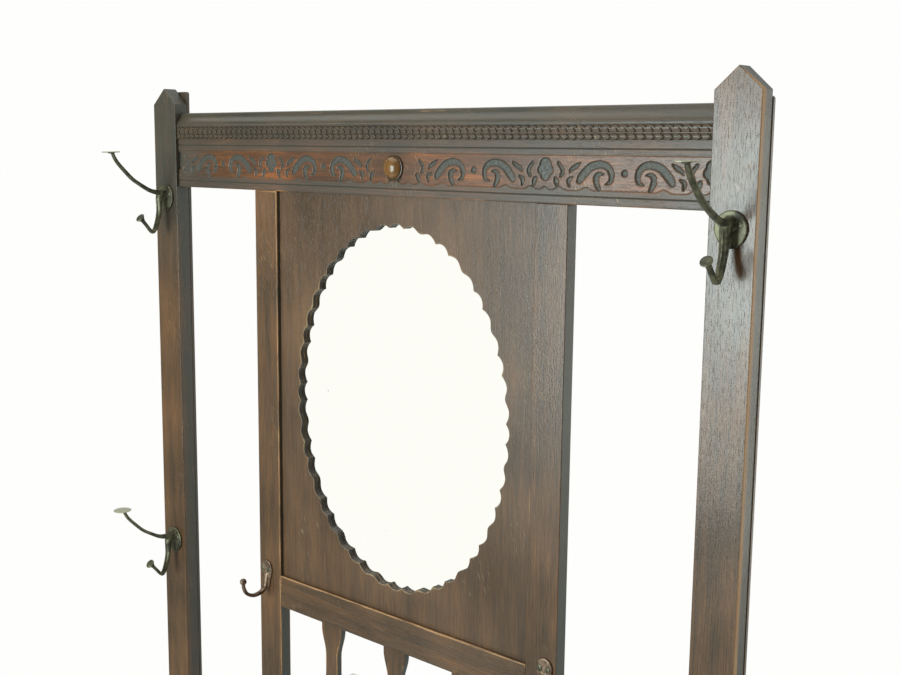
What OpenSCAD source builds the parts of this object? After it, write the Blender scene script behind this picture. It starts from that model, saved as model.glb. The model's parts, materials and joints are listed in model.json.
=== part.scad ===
// Hall tree in dark oak: two gabled posts, a carved top rail, an oval mirror in a
// scalloped panel, three splats, six hooks, a lidded glove box and two stick bays.
// Millimetres, +Z up, front towards -Y, origin on the floor under the middle.

/* [Overall] */
// Height to the tip of the post gables
stand_h = 1830; // [1810:10:2200]
// Width over the two outer posts
stand_w = 914; // [880:2:1100]
// Depth from the nosing of the lid to the back of the posts
stand_d = 290; // [250:5:360]

/* [Posts] */
// Width of each outer post
post_w = 48.5; // [44:0.5:60]
// Thickness of each outer post
post_t = 20; // [18:0.5:26]
// Rise of the gable on a post
gable_rise = 21.6; // [12:0.2:26]
// Thickness of the strip behind each post
strip_t = 4.5; // [4.5:0.5:8]
// How far the strip stands out past the side of its post
strip_lip = 1.7; // [0:0.1:4]
// How far the left strip ends below the gable tip
left_strip_drop = 4; // [2:1:30]
// How far the right strip ends below the gable tip
right_strip_drop = 27; // [2:1:40]
// Corner radius on the end of a strip
strip_corner = 3.5; // [1:0.5:6]

/* [Top rail] */
// Drop from the gable tips to the top of the rail
rail_drop = 33.1; // [22:0.1:60]
// Height of the rail with its mouldings
frieze_h = 99.1; // [84:0.1:130]
// Setback of the rail behind the front of the posts
frieze_set = 4; // [3:0.5:6]
// Height of the cornice moulding on top of the rail
cornice_h = 18.6; // [12:0.1:20]
// Height of the rope moulding under the cornice
rope_h = 16; // [12:0.5:18]
// Diameter of the round boss
boss_d = 29; // [20:0.5:34]
// How far the boss stands proud of the rail
boss_rise = 9; // [5:0.5:14]
// Depth of the boss centre below the top of the rail
boss_drop = 66.3; // [56:0.1:70]

/* [Mirror panel] */
// Width of the two inner stiles
stile_w = 41.5; // [36:0.5:54]
// Thickness of the two inner stiles
stile_t = 16.5; // [15:0.5:20]
// Setback of the stiles behind the front of the posts
stile_set = 3.2; // [0:0.1:3.4]
// Clear width between the stiles
panel_w = 409.8; // [390:0.2:500]
// Clear height between the top rail and the panel rail
panel_h = 506.3; // [490:0.1:610]
// Thickness of the mirror panel
panel_t = 6; // [5:0.5:7]
// Setback of the panel behind the front of the stiles
panel_set = 5; // [4.5:0.5:6]
// Width of the oval opening
oval_w = 344; // [260:2:360]
// Height of the oval opening
oval_h = 443; // [340:2:460]
// Depth of the scallops round the opening
scallop_depth = 5; // [2:0.5:7]
// Number of scallop repeats round the opening
scallops = 16; // [12:4:20]
// Thickness of the mirror glass
glass_t = 3; // [3:0.5:4]
// Cover of the glass behind the edge of the opening
glass_margin = 12; // [8:1:14]
// Width of the fillets round the glass
fillet_w = 13; // [8:1:16]
// Thickness of the backboard
backboard_t = 4; // [3:0.5:4.5]
// Height of the rail under the panel
panel_rail_h = 42.5; // [36:0.5:56]

/* [Splats] */
// Width of a splat at its ends
splat_w = 36; // [30:1:44]
// Width of a splat at its waists
splat_waist = 21; // [16:1:26]
// Width of a splat at its middle
splat_belly = 48; // [40:1:60]
// Thickness of a splat
splat_t = 8.5; // [6.5:0.5:10]
// Height of the rail under the splats
splat_rail_h = 42; // [36:1:56]

/* [Hooks] */
// Depth of the upper hooks below the top of the rail
upper_hook_drop = 115.6; // [112:0.1:160]
// Depth of the lower hooks below the top of the rail
lower_hook_drop = 606.5; // [500:0.1:760]
// Depth of the two stile hooks below the top of the rail
stile_hook_drop = 609.6; // [570:0.1:630]
// How far a stile hook sits outside the middle of its stile
stile_hook_shift = 6; // [0:0.5:8]
// Width of a double hook's plate
plate_w = 34; // [30:1:40]
// Reach of a double hook's upper arm
hook_reach = 84; // [66:1:100]
// Rise of a double hook's upper arm above the plate centre
hook_rise = 63; // [52:1:76]
// Drop of a double hook's lower arm below the plate centre
hook_fall = 47; // [40:1:56]
// Width of a double hook's arms
hook_arm_w = 10; // [8:0.5:12]

/* [Glove box] */
// Height of the top of the lid above the floor
lid_top = 812; // [800:1:900]
// Thickness of the lid
lid_t = 14; // [12:0.5:18]
// How far the lid stands out past the front of the legs
lid_over = 12; // [6:1:18]
// How far the lid stands out past the outer face of each stile
lid_side = 7; // [3:1:12]
// Height of the sides of the box
box_h = 138; // [115:1:166]
// Thickness of the box boards
box_t = 12; // [10:0.5:14]
// Depth of the fixed strip behind the lid
lid_strip_d = 34; // [28:1:44]
// Length of each hinge
hinge_l = 44; // [36:1:60]
// Distance of each hinge from the end of the lid
hinge_inset = 70; // [50:1:120]
// Diameter of the hinge pins
hinge_pin_d = 2.4; // [2:0.2:3]

/* [Stick bays] */
// Width of the square front legs
leg_w = 36; // [32:1:44]
// Height of the top of the stick bay rails above the floor
bay_top = 690; // [660:1:700]
// Height of a stick bay rail
bay_rail_h = 42; // [36:1:50]
// Thickness of the stick bay and base rails
rail_t = 18; // [16:0.5:22]
// Height of the underside of the base rails above the floor
base_low = 60; // [40:1:90]
// Height of the base rails
base_rail_h = 58; // [50:1:70]
// Depth of each drip tray
tray_depth = 30; // [20:1:34]
// Thickness of the tray metal
tray_wall = 1.5; // [1.5:0.1:2]
// Thickness of the shelf between the bays
shelf_t = 10; // [8:1:14]

/* [Joinery] */
// Length of a tenon
tenon_l = 12; // [8:0.5:13]
// Thickness of a tenon
tenon_t = 6; // [4:0.5:6]
// Height of the shoulder above and below a tenon
shoulder = 8; // [6:0.5:9]
// Depth of the groove that holds the panel
groove_d = 6; // [4:0.5:7]
// Clearance round a tenon, a tongue or a shank
fit = 0.15; // [0.1:0.05:0.3]
// Clearance between the hinge pin and its knuckles
pin_fit = 0.05; // [0.03:0.01:0.1]
// Gap between a fixed piece and one that lifts or swings
lift_gap = 0.5; // [0.3:0.1:1]

/* [Hidden] */
$fn = 48;
eps = 0.01;

oak = [0.36, 0.27, 0.20];
oak_panel = [0.42, 0.33, 0.25];
oak_carved = [0.50, 0.33, 0.19];
bronze = [0.31, 0.29, 0.22];
copper = [0.52, 0.40, 0.30];
brass = [0.72, 0.58, 0.30];
steel = [0.55, 0.55, 0.52];
japan = [0.10, 0.10, 0.11];
silvered = [0.90, 0.92, 0.93];

// Depths, from the back forwards
back_y = stand_d / 2;
post_y = back_y - strip_t - post_t;
frieze_y = post_y + frieze_set;
stile_y = post_y + stile_set;
panel_y = stile_y + panel_set;
frame_back_y = stile_y + stile_t;
frieze_t = frame_back_y - frieze_y;
tenon_y = frame_back_y - stile_t / 2 - tenon_t / 2;
leg_y = -stand_d / 2 + lid_over;
leg_back_y = leg_y + leg_w;
front_rail_y = leg_y + (leg_w - rail_t) / 2;

// Widths, from the middle outwards
post_in_x = stand_w / 2 - post_w;
post_mid_x = stand_w / 2 - post_w / 2;
stile_in_x = panel_w / 2;
stile_mid_x = stile_in_x + stile_w / 2;
stile_out_x = stile_in_x + stile_w;
inner_leg_in_x = stile_mid_x - leg_w / 2;
inner_leg_out_x = stile_mid_x + leg_w / 2;
outer_leg_in_x = stand_w / 2 - leg_w;
outer_leg_mid_x = stand_w / 2 - leg_w / 2;

// Heights
rail_top = stand_h - rail_drop;
rail_low = rail_top - frieze_h;
board_top = rail_top - cornice_h;
panel_low = rail_low - panel_h;
panel_rail_low = panel_low - panel_rail_h;
oval_z = panel_low + panel_h / 2;
splat_rail_low = lid_top - 8;
splat_rail_top = splat_rail_low + splat_rail_h;
lid_low = lid_top - lid_t;
box_top = lid_low - lift_gap;
box_low = box_top - box_h;
bay_low = bay_top - bay_rail_h;
base_top = base_low + base_rail_h;

// Lid hinge
leaf_t = 1.1;
leaf_h = 11;
leaf_gap = 2 * leaf_t + 0.3;
knuckle_r = 2.6;
knuckle_clear = 0.5;
hinge_y = stile_y - lid_strip_d - leaf_gap / 2;
hinge_z = lid_top + 0.6;
hinge_x = stile_out_x + lid_side - hinge_inset - hinge_l;
lid_half = stile_out_x + lid_side;

// Screws
shank_d = 3.4;
head_d = 6.8;
head_h = 2.2;
hook_screw_l = 15;
back_screw_l = 13;
leaf_screw_l = 9;
plate_t = 2.8;
stile_plate_t = 2.4;
plate_screw_x = 9.7;
plate_screw_z = 5;
stile_plate_w = 21.6;
stile_screw_x = 5.4;
stile_screw_z = 8;

// Drip trays
tray_flange = 14;
tray_gap = 3;
bearer_w = 12;
tray_top = base_top - 4;
tray_x0 = inner_leg_out_x + tray_gap;
tray_x1 = outer_leg_in_x - tray_gap;
tray_y0 = front_rail_y + rail_t + tray_gap;
tray_y1 = post_y - tray_gap;

// ---------------------------------------------------------------- shared shapes

// A block between two corners, padded on every side by grow
module block(low, high, grow = 0) {
    translate(low - [grow, grow, grow])
        cube(high - low + 2 * [grow, grow, grow]);
}

// The same piece on the other side of the stand
module on_side(side) {
    if (side < 0) mirror([1, 0, 0]) children();
    else children();
}

// Tenons on both ends of a rail that runs along X
module x_tenons(x0, x1, y_mid, z0, z1, grow = 0) {
    for (x = [x0 - tenon_l, x1])
        block([x, y_mid - tenon_t / 2, z0 + shoulder],
              [x + tenon_l, y_mid + tenon_t / 2, z1 - shoulder], grow);
}

// A rail along X with its two tenons
module x_rail(x0, x1, y0, y1, z0, z1) {
    block([x0, y0, z0], [x1, y1, z1]);
    x_tenons(x0 + eps, x1 - eps, (y0 + y1) / 2, z0, z1);
}

// Tenons on both ends of a rail that runs along Y
module y_tenons(x_mid, y0, y1, z0, z1, grow = 0) {
    for (y = [y0 - tenon_l, y1])
        block([x_mid - tenon_t / 2, y, z0 + shoulder],
              [x_mid + tenon_t / 2, y + tenon_l, z1 - shoulder], grow);
}

// A rail along Y with its two tenons
module y_rail(x_mid, y0, y1, z0, z1) {
    block([x_mid - rail_t / 2, y0, z0], [x_mid + rail_t / 2, y1, z1]);
    y_tenons(x_mid, y0 + eps, y1 - eps, z0, z1);
}

// A countersunk screw with its head at the origin, driven towards +Y
module screw(length, grow = 0) {
    rotate([-90, 0, 0]) rotate_extrude()
        polygon([[0, -grow], [head_d / 2 + grow, -grow],
                 [shank_d / 2 + grow, head_h + grow],
                 [shank_d / 2 + grow, length + grow], [0, length + grow]]);
}

// Points of a circular arc
function arc(cx, cy, r, a0, a1, n = 8) =
    [for (i = [0 : n]) [cx + r * cos(a0 + (a1 - a0) * i / n),
                        cy + r * sin(a0 + (a1 - a0) * i / n)]];

// Point of a cubic curve with four control points
function cubic(p, t) = p[0] * pow(1 - t, 3) + 3 * p[1] * t * pow(1 - t, 2)
    + 3 * p[2] * t * t * (1 - t) + p[3] * pow(t, 3);

// Outline of a bar that follows a path, with a thickness for each of its points
function unit(v) = v / norm(v);
function path_dir(path, i) =
    unit(path[min(i + 1, len(path) - 1)] - path[max(i - 1, 0)]);
function path_side(path, i) = [-path_dir(path, i)[1], path_dir(path, i)[0]];
function bar_outline(path, t) = concat(
    [for (i = [0 : len(path) - 1]) path[i] + path_side(path, i) * t[i] / 2],
    [for (i = [len(path) - 1 : -1 : 0]) path[i] - path_side(path, i) * t[i] / 2]);

// A profile drawn as [y, z], swept along X from x0 to x1
module along_x(x0, x1) {
    translate([x0, 0, 0]) rotate([90, 0, 90]) linear_extrude(x1 - x0) children();
}

// A profile drawn as [x, z], swept along Y from y0 to y1
module along_y(y0, y1) {
    translate([0, y1, 0]) rotate([90, 0, 0]) linear_extrude(y1 - y0) children();
}

// ---------------------------------------------------------------- joints in the frame

module frieze_tenons(grow = 0) {
    x_tenons(-post_in_x, post_in_x, tenon_y + tenon_t / 2, rail_low, board_top, grow);
}

module back_rail_tenons(grow = 0) {
    x_tenons(stile_out_x, post_in_x, tenon_y + tenon_t / 2, bay_low, bay_top, grow);
}

module base_back_tenons(grow = 0) {
    x_tenons(-post_in_x, post_in_x, tenon_y + tenon_t / 2, base_low, base_top, grow);
}

module stile_rail_tenons(z0, z1, grow = 0) {
    x_tenons(-stile_in_x, stile_in_x, tenon_y + tenon_t / 2, z0, z1, grow);
}

module stile_tenons(grow = 0) {
    for (z = [base_top - tenon_l, rail_low])
        block([stile_in_x + shoulder, tenon_y, z],
              [stile_out_x - shoulder, tenon_y + tenon_t, z + tenon_l], grow);
}

module side_rail_tenons(z0, z1, grow = 0) {
    y_tenons(outer_leg_mid_x, leg_back_y, post_y, z0, z1, grow);
}

// These stop short of the stile's own tenon, which comes down into the same rail
module divider_tenons(grow = 0) {
    y_tenons(stile_mid_x, leg_back_y + eps, stile_y - eps, base_low, base_top - tenon_l, grow);
}

module bay_front_tenons(z0, z1, grow = 0) {
    x_tenons(inner_leg_out_x, outer_leg_in_x, leg_y + leg_w / 2, z0, z1, grow);
}

module centre_front_tenons(z0, z1, grow = 0) {
    x_tenons(-inner_leg_in_x, inner_leg_in_x, leg_y + leg_w / 2, z0, z1, grow);
}

// ---------------------------------------------------------------- outer posts

module post(side) {
    color(oak) on_side(side) difference() {
        along_y(post_y, post_y + post_t)
            polygon([[post_in_x, 0], [stand_w / 2, 0],
                     [stand_w / 2, stand_h - gable_rise], [post_mid_x, stand_h],
                     [post_in_x, stand_h - gable_rise]]);
        frieze_tenons(fit);
        back_rail_tenons(fit);
        base_back_tenons(fit);
        side_rail_tenons(bay_low, bay_top, fit);
        side_rail_tenons(base_low, base_top, fit);
        for (drop = [upper_hook_drop, lower_hook_drop])
            hook_screws_at(post_mid_x, post_y, rail_top - drop, fit);
    }
}

module backing_strip(side, drop) {
    top = stand_h - drop;
    color(oak) on_side(side) along_y(post_y + post_t, back_y)
        polygon(concat(
            [[post_in_x, 0], [stand_w / 2 + strip_lip, 0]],
            arc(stand_w / 2 + strip_lip - strip_corner, top - strip_corner,
                strip_corner, 0, 90),
            arc(post_in_x + strip_corner, top - strip_corner,
                strip_corner, 90, 180)));
}

// ---------------------------------------------------------------- top rail

module frieze_board() {
    color(oak_carved) difference() {
        union() {
            block([-post_in_x, frieze_y, rail_low], [post_in_x, frame_back_y, board_top]);
            intersection() {
                frieze_tenons();
                block([-post_in_x - tenon_l, frieze_y, rail_low],
                      [post_in_x + tenon_l, frame_back_y, board_top]);
            }
        }
        panel_tongue(fit);
        for (side = [-1, 1]) on_side(side) stile_tenons(fit);
        boss_spigot(fit);
        back_screws(fit);
        // the two incised lines
        for (z = [board_top - 24.2, rail_low + 8.7])
            block([-post_in_x - eps, frieze_y - 1, z - 0.6],
                  [post_in_x + eps, frieze_y + 0.8, z + 0.6]);
    }
}

module cornice_moulding() {
    lip = 1.5;
    crown = 8;
    round_r = 4;
    cove_r = 8;
    color(oak) along_x(-post_in_x, post_in_x)
        polygon(concat(
            [[frame_back_y, board_top], [frieze_y - lip, board_top],
             [frieze_y - lip, board_top + 2]],
            arc(frieze_y - lip + crown - round_r - cove_r + 2, board_top + 2 + cove_r,
                cove_r, -80, -15),
            arc(frieze_y + crown, rail_top - round_r, round_r, 180, 90),
            [[frame_back_y, rail_top]]));
}

module rope_moulding() {
    back = frieze_y;
    proud = frieze_set;
    top_r = rope_h * 0.15;
    low_r = rope_h * 0.26;
    color(oak) along_x(-post_in_x, post_in_x) difference() {
        polygon(concat(
            [[back, board_top - rope_h], [back - proud / 2, board_top - rope_h]],
            arc(back - proud + low_r * 0.5, board_top - rope_h + low_r + 0.8,
                low_r * 0.5, -90, -270),
            [[back - proud / 3, board_top - rope_h + 2 * low_r + 1.6]],
            arc(back - proud + top_r, board_top - top_r - 0.4, top_r, -90, -270),
            [[back - proud / 2, board_top], [back, board_top]]));
        translate([back, board_top - rope_h - 1]) square([10, rope_h + 2]);
    }
}

module boss_spigot(grow = 0) {
    translate([0, frieze_y - grow, rail_top - boss_drop]) rotate([-90, 0, 0])
        cylinder(h = 9 + 2 * grow, d = 10 + 2 * grow);
}

module frieze_boss() {
    rim_h = 2;
    color(oak_carved) union() {
        translate([0, frieze_y, rail_top - boss_drop]) rotate([90, 0, 0]) rotate_extrude()
            polygon(concat([[0, 0], [boss_d / 2, 0], [boss_d / 2, rim_h]],
                [for (a = [0 : 10 : 90])
                    [(boss_d / 2 - 1) * cos(a), rim_h + (boss_rise - rim_h) * sin(a)]]));
        boss_spigot();
    }
}

// ---------------------------------------------------------------- stiles and panel

module stile(side) {
    color(oak) on_side(side) difference() {
        union() {
            block([stile_in_x, stile_y, base_top], [stile_out_x, frame_back_y, rail_low]);
            stile_tenons();
        }
        panel_tongue(fit);
        back_rail_tenons(fit);
        stile_rail_tenons(panel_rail_low, panel_low, fit);
        stile_rail_tenons(splat_rail_low, splat_rail_top, fit);
        stile_hook_screws(fit);
        back_screws(fit);
    }
}

// The sheet of the panel with the tongue that runs in the grooves
module panel_tongue(grow = 0) {
    block([-stile_in_x - groove_d, panel_y, panel_low - groove_d],
          [stile_in_x + groove_d, panel_y + panel_t, rail_low + groove_d], grow);
}

// Depth of the scalloped edge at a share u of one repeat, 0 and 1 being between
// the two sharp points: a narrow scallop, a point, a scallop, a round lobe, and back
point_u = 0.15;
function scallop_in(u) =
    u < point_u ? pow(u / point_u, 2)
    : u > 1 - point_u ? pow((1 - u) / point_u, 2)
    : let (v = (u - point_u) / (1 - 2 * point_u))
      let (w = abs(2 * v - 1))
      w > 0.5 ? pow((w - 0.5) / 0.5, 2) : 0.85 * pow(cos(180 * w), 2);

// Circumference shares of the oval, so that the repeats are even along its edge
function oval_speed(a) = sqrt(pow(oval_w / 2 * sin(a), 2) + pow(oval_h / 2 * cos(a), 2));
oval_steps = 480;
oval_run = [for (i = 0, s = 0; i <= oval_steps;
                 s = s + oval_speed(360 * (i + 0.5) / oval_steps), i = i + 1) s];

module oval_outline() {
    total = oval_run[oval_steps];
    polygon([for (i = [0 : oval_steps - 1])
        let (a = 360 * i / oval_steps)
        let (rep = scallops * oval_run[i] / total)
        let (inset = scallop_depth * scallop_in(rep - floor(rep)))
        let (nx = cos(a) / (oval_w / 2), nz = sin(a) / (oval_h / 2))
        [oval_w / 2 * cos(a) - inset * nx / norm([nx, nz]),
         oval_z + oval_h / 2 * sin(a) - inset * nz / norm([nx, nz])]]);
}

module mirror_panel() {
    color(oak_panel) difference() {
        panel_tongue();
        along_y(panel_y - 1, panel_y + panel_t + 1) oval_outline();
    }
}

module mirror_glass() {
    color(silvered)
        block([-oval_w / 2 - glass_margin, panel_y + panel_t, oval_z - oval_h / 2 - glass_margin],
              [oval_w / 2 + glass_margin, panel_y + panel_t + glass_t,
               oval_z + oval_h / 2 + glass_margin]);
}

module glass_fillets() {
    gx = oval_w / 2 + glass_margin + fit;
    gz = oval_h / 2 + glass_margin + fit;
    y0 = panel_y + panel_t;
    color(oak) {
        for (side = [-1, 1]) on_side(side)
            block([gx, y0, oval_z - gz], [gx + fillet_w, frame_back_y, oval_z + gz]);
        for (z = [oval_z - gz - fillet_w, oval_z + gz])
            block([-gx - fillet_w, y0, z], [gx + fillet_w, frame_back_y, z + fillet_w]);
    }
}

module mirror_backboard() {
    cover = 14;
    color(oak_panel) difference() {
        block([-stile_in_x - cover, frame_back_y, panel_low - cover],
              [stile_in_x + cover, frame_back_y + backboard_t, rail_low + cover]);
        back_screws(fit);
    }
}

module back_screws(grow = 0) {
    edge = 9;
    per_side = 4;
    at_y = frame_back_y + backboard_t;
    for (side = [-1, 1], i = [0 : per_side - 1])
        translate([side * (stile_in_x + edge), at_y,
                   panel_low + edge + (panel_h - 2 * edge) * i / (per_side - 1)])
            rotate([0, 0, 180]) screw(back_screw_l, grow);
    for (z = [panel_low - edge, rail_low + edge], x = [-1 / 3, 1 / 3])
        translate([x * panel_w, at_y, z])
            rotate([0, 0, 180]) screw(back_screw_l, grow);
}

module panel_rail() {
    color(oak) difference() {
        x_rail(-stile_in_x, stile_in_x, stile_y, frame_back_y, panel_rail_low, panel_low);
        panel_tongue(fit);
        splat_tenons(fit);
        back_screws(fit);
    }
}

// ---------------------------------------------------------------- splats

splat_y = stile_y + (stile_t - splat_t) / 2;
splat_pitch = (panel_w + splat_w) / 4;

function smooth(t) = t * t * (3 - 2 * t);

// Half width of a splat at a share t of its length, the same from both ends
function splat_half(t) =
    let (u = min(t, 1 - t) * 2)
    u < 0.05 ? splat_w / 2
    : u < 0.28 ? splat_w / 2 + (splat_waist - splat_w) / 2 * smooth((u - 0.05) / 0.23)
    : u < 0.42 ? splat_waist / 2
    : splat_waist / 2 + (splat_belly - splat_waist) / 2 * smooth((u - 0.42) / 0.58);

module splat_outline() {
    steps = 48;
    length = panel_rail_low - splat_rail_top;
    polygon(concat(
        [for (i = [0 : steps]) [splat_half(i / steps), splat_rail_top + length * i / steps]],
        [for (i = [steps : -1 : 0])
            [-splat_half(i / steps), splat_rail_top + length * i / steps]]));
}

module splat_tenons(grow = 0) {
    depth = 7;
    for (i = [-1 : 1], z = [splat_rail_top - depth, panel_rail_low])
        block([i * splat_pitch - splat_w / 3, splat_y + 1, z],
              [i * splat_pitch + splat_w / 3, splat_y + splat_t - 1, z + depth], grow);
}

module splat(i) {
    color(oak) union() {
        translate([i * splat_pitch, 0, 0]) along_y(splat_y, splat_y + splat_t) splat_outline();
        intersection() {
            splat_tenons();
            block([i * splat_pitch - splat_w, splat_y, 0],
                  [i * splat_pitch + splat_w, splat_y + splat_t, stand_h]);
        }
    }
}

module splat_rail() {
    color(oak) difference() {
        x_rail(-stile_in_x, stile_in_x, stile_y, frame_back_y, splat_rail_low, splat_rail_top);
        splat_tenons(fit);
    }
}

// ---------------------------------------------------------------- hooks

module hook_screws_at(x, y, z, grow = 0) {
    for (side = [-1, 1])
        translate([x + side * plate_screw_x, y - plate_t, z + plate_screw_z])
            screw(hook_screw_l, grow);
}

module stile_hook_screws(grow = 0) {
    for (side = [-1, 1])
        translate([stile_mid_x + stile_hook_shift + side * stile_screw_x,
                   stile_y - stile_plate_t, rail_top - stile_hook_drop + stile_screw_z])
            screw(hook_screw_l - 3, grow);
}

arm_steps = 14;

// Side curves of a double hook as [y, z] about the middle of its plate
upper_arm = [for (i = [0 : arm_steps]) cubic([[-1, 6], [-0.36 * hook_reach, 6],
    [-0.93 * hook_reach, 0.5 * hook_rise], [-hook_reach, hook_rise - 1]], i / arm_steps)];
lower_arm = [for (i = [0 : arm_steps]) cubic([[-7, 6], [-16, -0.25 * hook_fall],
    [-10, -0.62 * hook_fall], [-20.5, 2.2 - hook_fall]], i / arm_steps)];
lower_tip = [for (i = [0 : arm_steps]) cubic([[-20.5, 2.2 - hook_fall],
    [-25, -1.6 - hook_fall], [-30, 6 - hook_fall], [-43, -0.58 * hook_fall]], i / arm_steps)];

module double_hook(x, z) {
    disc_d = 24.5;
    disc_t = 1.4;
    head_w = 14;
    root_t = 9;
    arm_t = 4.6;
    color(bronze) translate([x, post_y, z]) difference() {
        union() {
            // plate, wide above and drawn in below
            along_y(-plate_t, 0) polygon(concat(
                arc(0, 1, plate_w / 2, -20, 200, 24),
                cubic_run([[-plate_w / 2 * cos(20), 1 - plate_w / 2 * sin(20)],
                           [-plate_w * 0.38, -11], [-plate_w * 0.2, -17], [0, -17.5]]),
                cubic_run([[0, -17.5], [plate_w * 0.2, -17], [plate_w * 0.38, -11],
                           [plate_w / 2 * cos(20), 1 - plate_w / 2 * sin(20)]])));
            along_x(-hook_arm_w / 2, hook_arm_w / 2) {
                polygon(bar_outline(upper_arm,
                    [for (i = [0 : arm_steps]) max(arm_t, root_t - 1.1 * i)]));
                polygon(bar_outline(lower_arm,
                    [for (i = [0 : arm_steps]) max(arm_t, root_t - 0.8 * i)]));
                polygon(bar_outline(lower_tip, [for (i = [0 : arm_steps]) arm_t]));
            }
            // flat disc on the upper arm
            translate([0, -hook_reach - 2, hook_rise - disc_t / 2])
                cylinder(h = disc_t, d = disc_d);
            // flared head on the lower arm
            translate([0, -43, -0.58 * hook_fall]) rotate([50, 0, 0])
                rotate_extrude() polygon([[0, -2], [3, -2], [head_w / 2, 2.6],
                    [head_w / 2 - 0.6, 4], [0, 5]]);
        }
        for (side = [-1, 1])
            translate([side * plate_screw_x, -plate_t, plate_screw_z])
                screw(hook_screw_l, fit);
    }
}

function cubic_run(p) = [for (i = [1 : 7]) cubic(p, i / 8)];

single_arm = [for (i = [0 : arm_steps]) cubic([[-1.2, -4], [-1.5, -29],
    [-46, -31], [-41, -1]], i / arm_steps)];

module stile_hook(side) {
    ball_d = 9;
    color(copper) on_side(side)
        translate([stile_mid_x + stile_hook_shift, stile_y, rail_top - stile_hook_drop])
        difference() {
            union() {
                along_y(-stile_plate_t, 0) polygon(concat(
                    arc(0, 20 - stile_plate_w / 2, stile_plate_w / 2, 0, 180, 20),
                    cubic_run([[-stile_plate_w / 2, 9.2], [-stile_plate_w / 2, 0],
                               [-5, -12], [-4, -20]]),
                    cubic_run([[4, -20], [5, -12],
                               [stile_plate_w / 2, 0], [stile_plate_w / 2, 9.2]])));
                along_x(-4, 4) polygon(bar_outline(single_arm,
                    [for (i = [0 : arm_steps]) max(4.6, 2.4 + 1.2 * i)
                        - max(0, 0.9 * (i - 3))]));
                translate([0, -41, 0]) sphere(d = ball_d);
            }
            for (s = [-1, 1])
                translate([s * stile_screw_x, -stile_plate_t, stile_screw_z])
                    screw(hook_screw_l - 3, fit);
            // flat back against the stile
            block([-20, 0, -40], [20, 20, 30]);
        }
}

module hook_screws() {
    color(brass) {
        for (side = [-1, 1]) on_side(side) {
            for (drop = [upper_hook_drop, lower_hook_drop])
                hook_screws_at(post_mid_x, post_y, rail_top - drop);
            stile_hook_screws();
        }
    }
}

module frame_screws() {
    color(steel) {
        back_screws();
        leaf_screws(1);
    }
}

// ---------------------------------------------------------------- front legs and rails

module outer_leg(side) {
    gable = 12;
    color(oak) on_side(side) difference() {
        along_y(leg_y, leg_back_y)
            polygon([[outer_leg_in_x, 0], [stand_w / 2, 0], [stand_w / 2, bay_top + 6],
                     [outer_leg_mid_x, bay_top + 6 + gable], [outer_leg_in_x, bay_top + 6]]);
        bay_front_tenons(bay_low, bay_top, fit);
        bay_front_tenons(base_low, base_top, fit);
        side_rail_tenons(bay_low, bay_top, fit);
        side_rail_tenons(base_low, base_top, fit);
    }
}

module inner_leg(side) {
    color(oak) on_side(side) difference() {
        block([inner_leg_in_x, leg_y, 0], [inner_leg_out_x, leg_back_y, box_top]);
        bay_front_tenons(bay_low, bay_top, fit);
        bay_front_tenons(base_low, base_top, fit);
        centre_front_tenons(box_low, box_top, fit);
        centre_front_tenons(base_low, base_top, fit);
        divider_tenons(fit);
    }
}

module bay_front_rail(side, z0, z1) {
    color(oak) on_side(side)
        x_rail(inner_leg_out_x, outer_leg_in_x, front_rail_y, front_rail_y + rail_t, z0, z1);
}

module base_front_rail_centre() {
    color(oak)
        x_rail(-inner_leg_in_x, inner_leg_in_x, front_rail_y, front_rail_y + rail_t,
               base_low, base_top);
}

module side_rail(side, z0, z1) {
    color(oak) on_side(side) y_rail(outer_leg_mid_x, leg_back_y, post_y, z0, z1);
}

module divider_rail(side) {
    color(oak) on_side(side) {
        block([stile_mid_x - rail_t / 2, leg_back_y, base_low],
              [stile_mid_x + rail_t / 2, stile_y, base_top]);
        divider_tenons();
    }
}

module back_rail(side) {
    color(oak) on_side(side)
        x_rail(stile_out_x, post_in_x, stile_y, frame_back_y, bay_low, bay_top);
}

module base_back_rail() {
    color(oak) difference() {
        x_rail(-post_in_x, post_in_x, stile_y, frame_back_y, base_low, base_top);
        for (side = [-1, 1]) on_side(side) {
            stile_tenons(fit);
            divider_tenons(fit);
        }
    }
}

module base_shelf() {
    top = base_top - 6;
    edge_x = stile_mid_x - rail_t / 2;
    color(oak_panel) union() {
        block([-inner_leg_in_x, front_rail_y + rail_t, top - shelf_t],
              [inner_leg_in_x, leg_back_y + eps, top]);
        block([-edge_x, leg_back_y, top - shelf_t], [edge_x, stile_y, top]);
    }
}

// ---------------------------------------------------------------- drip trays

module tray_bearers() {
    top = tray_top - tray_wall - lift_gap;
    color(oak) for (side = [-1, 1]) on_side(side) {
        block([inner_leg_out_x, front_rail_y + rail_t, top - bearer_w],
              [outer_leg_in_x, front_rail_y + rail_t + bearer_w, top]);
        block([stile_mid_x + rail_t / 2, post_y - bearer_w, top - bearer_w],
              [outer_leg_mid_x - rail_t / 2, post_y, top]);
    }
}

module rounded(x0, x1, y0, y1, r) {
    polygon(concat(arc(x1 - r, y1 - r, r, 0, 90), arc(x0 + r, y1 - r, r, 90, 180),
                   arc(x0 + r, y0 + r, r, 180, 270), arc(x1 - r, y0 + r, r, 270, 360)));
}

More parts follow.
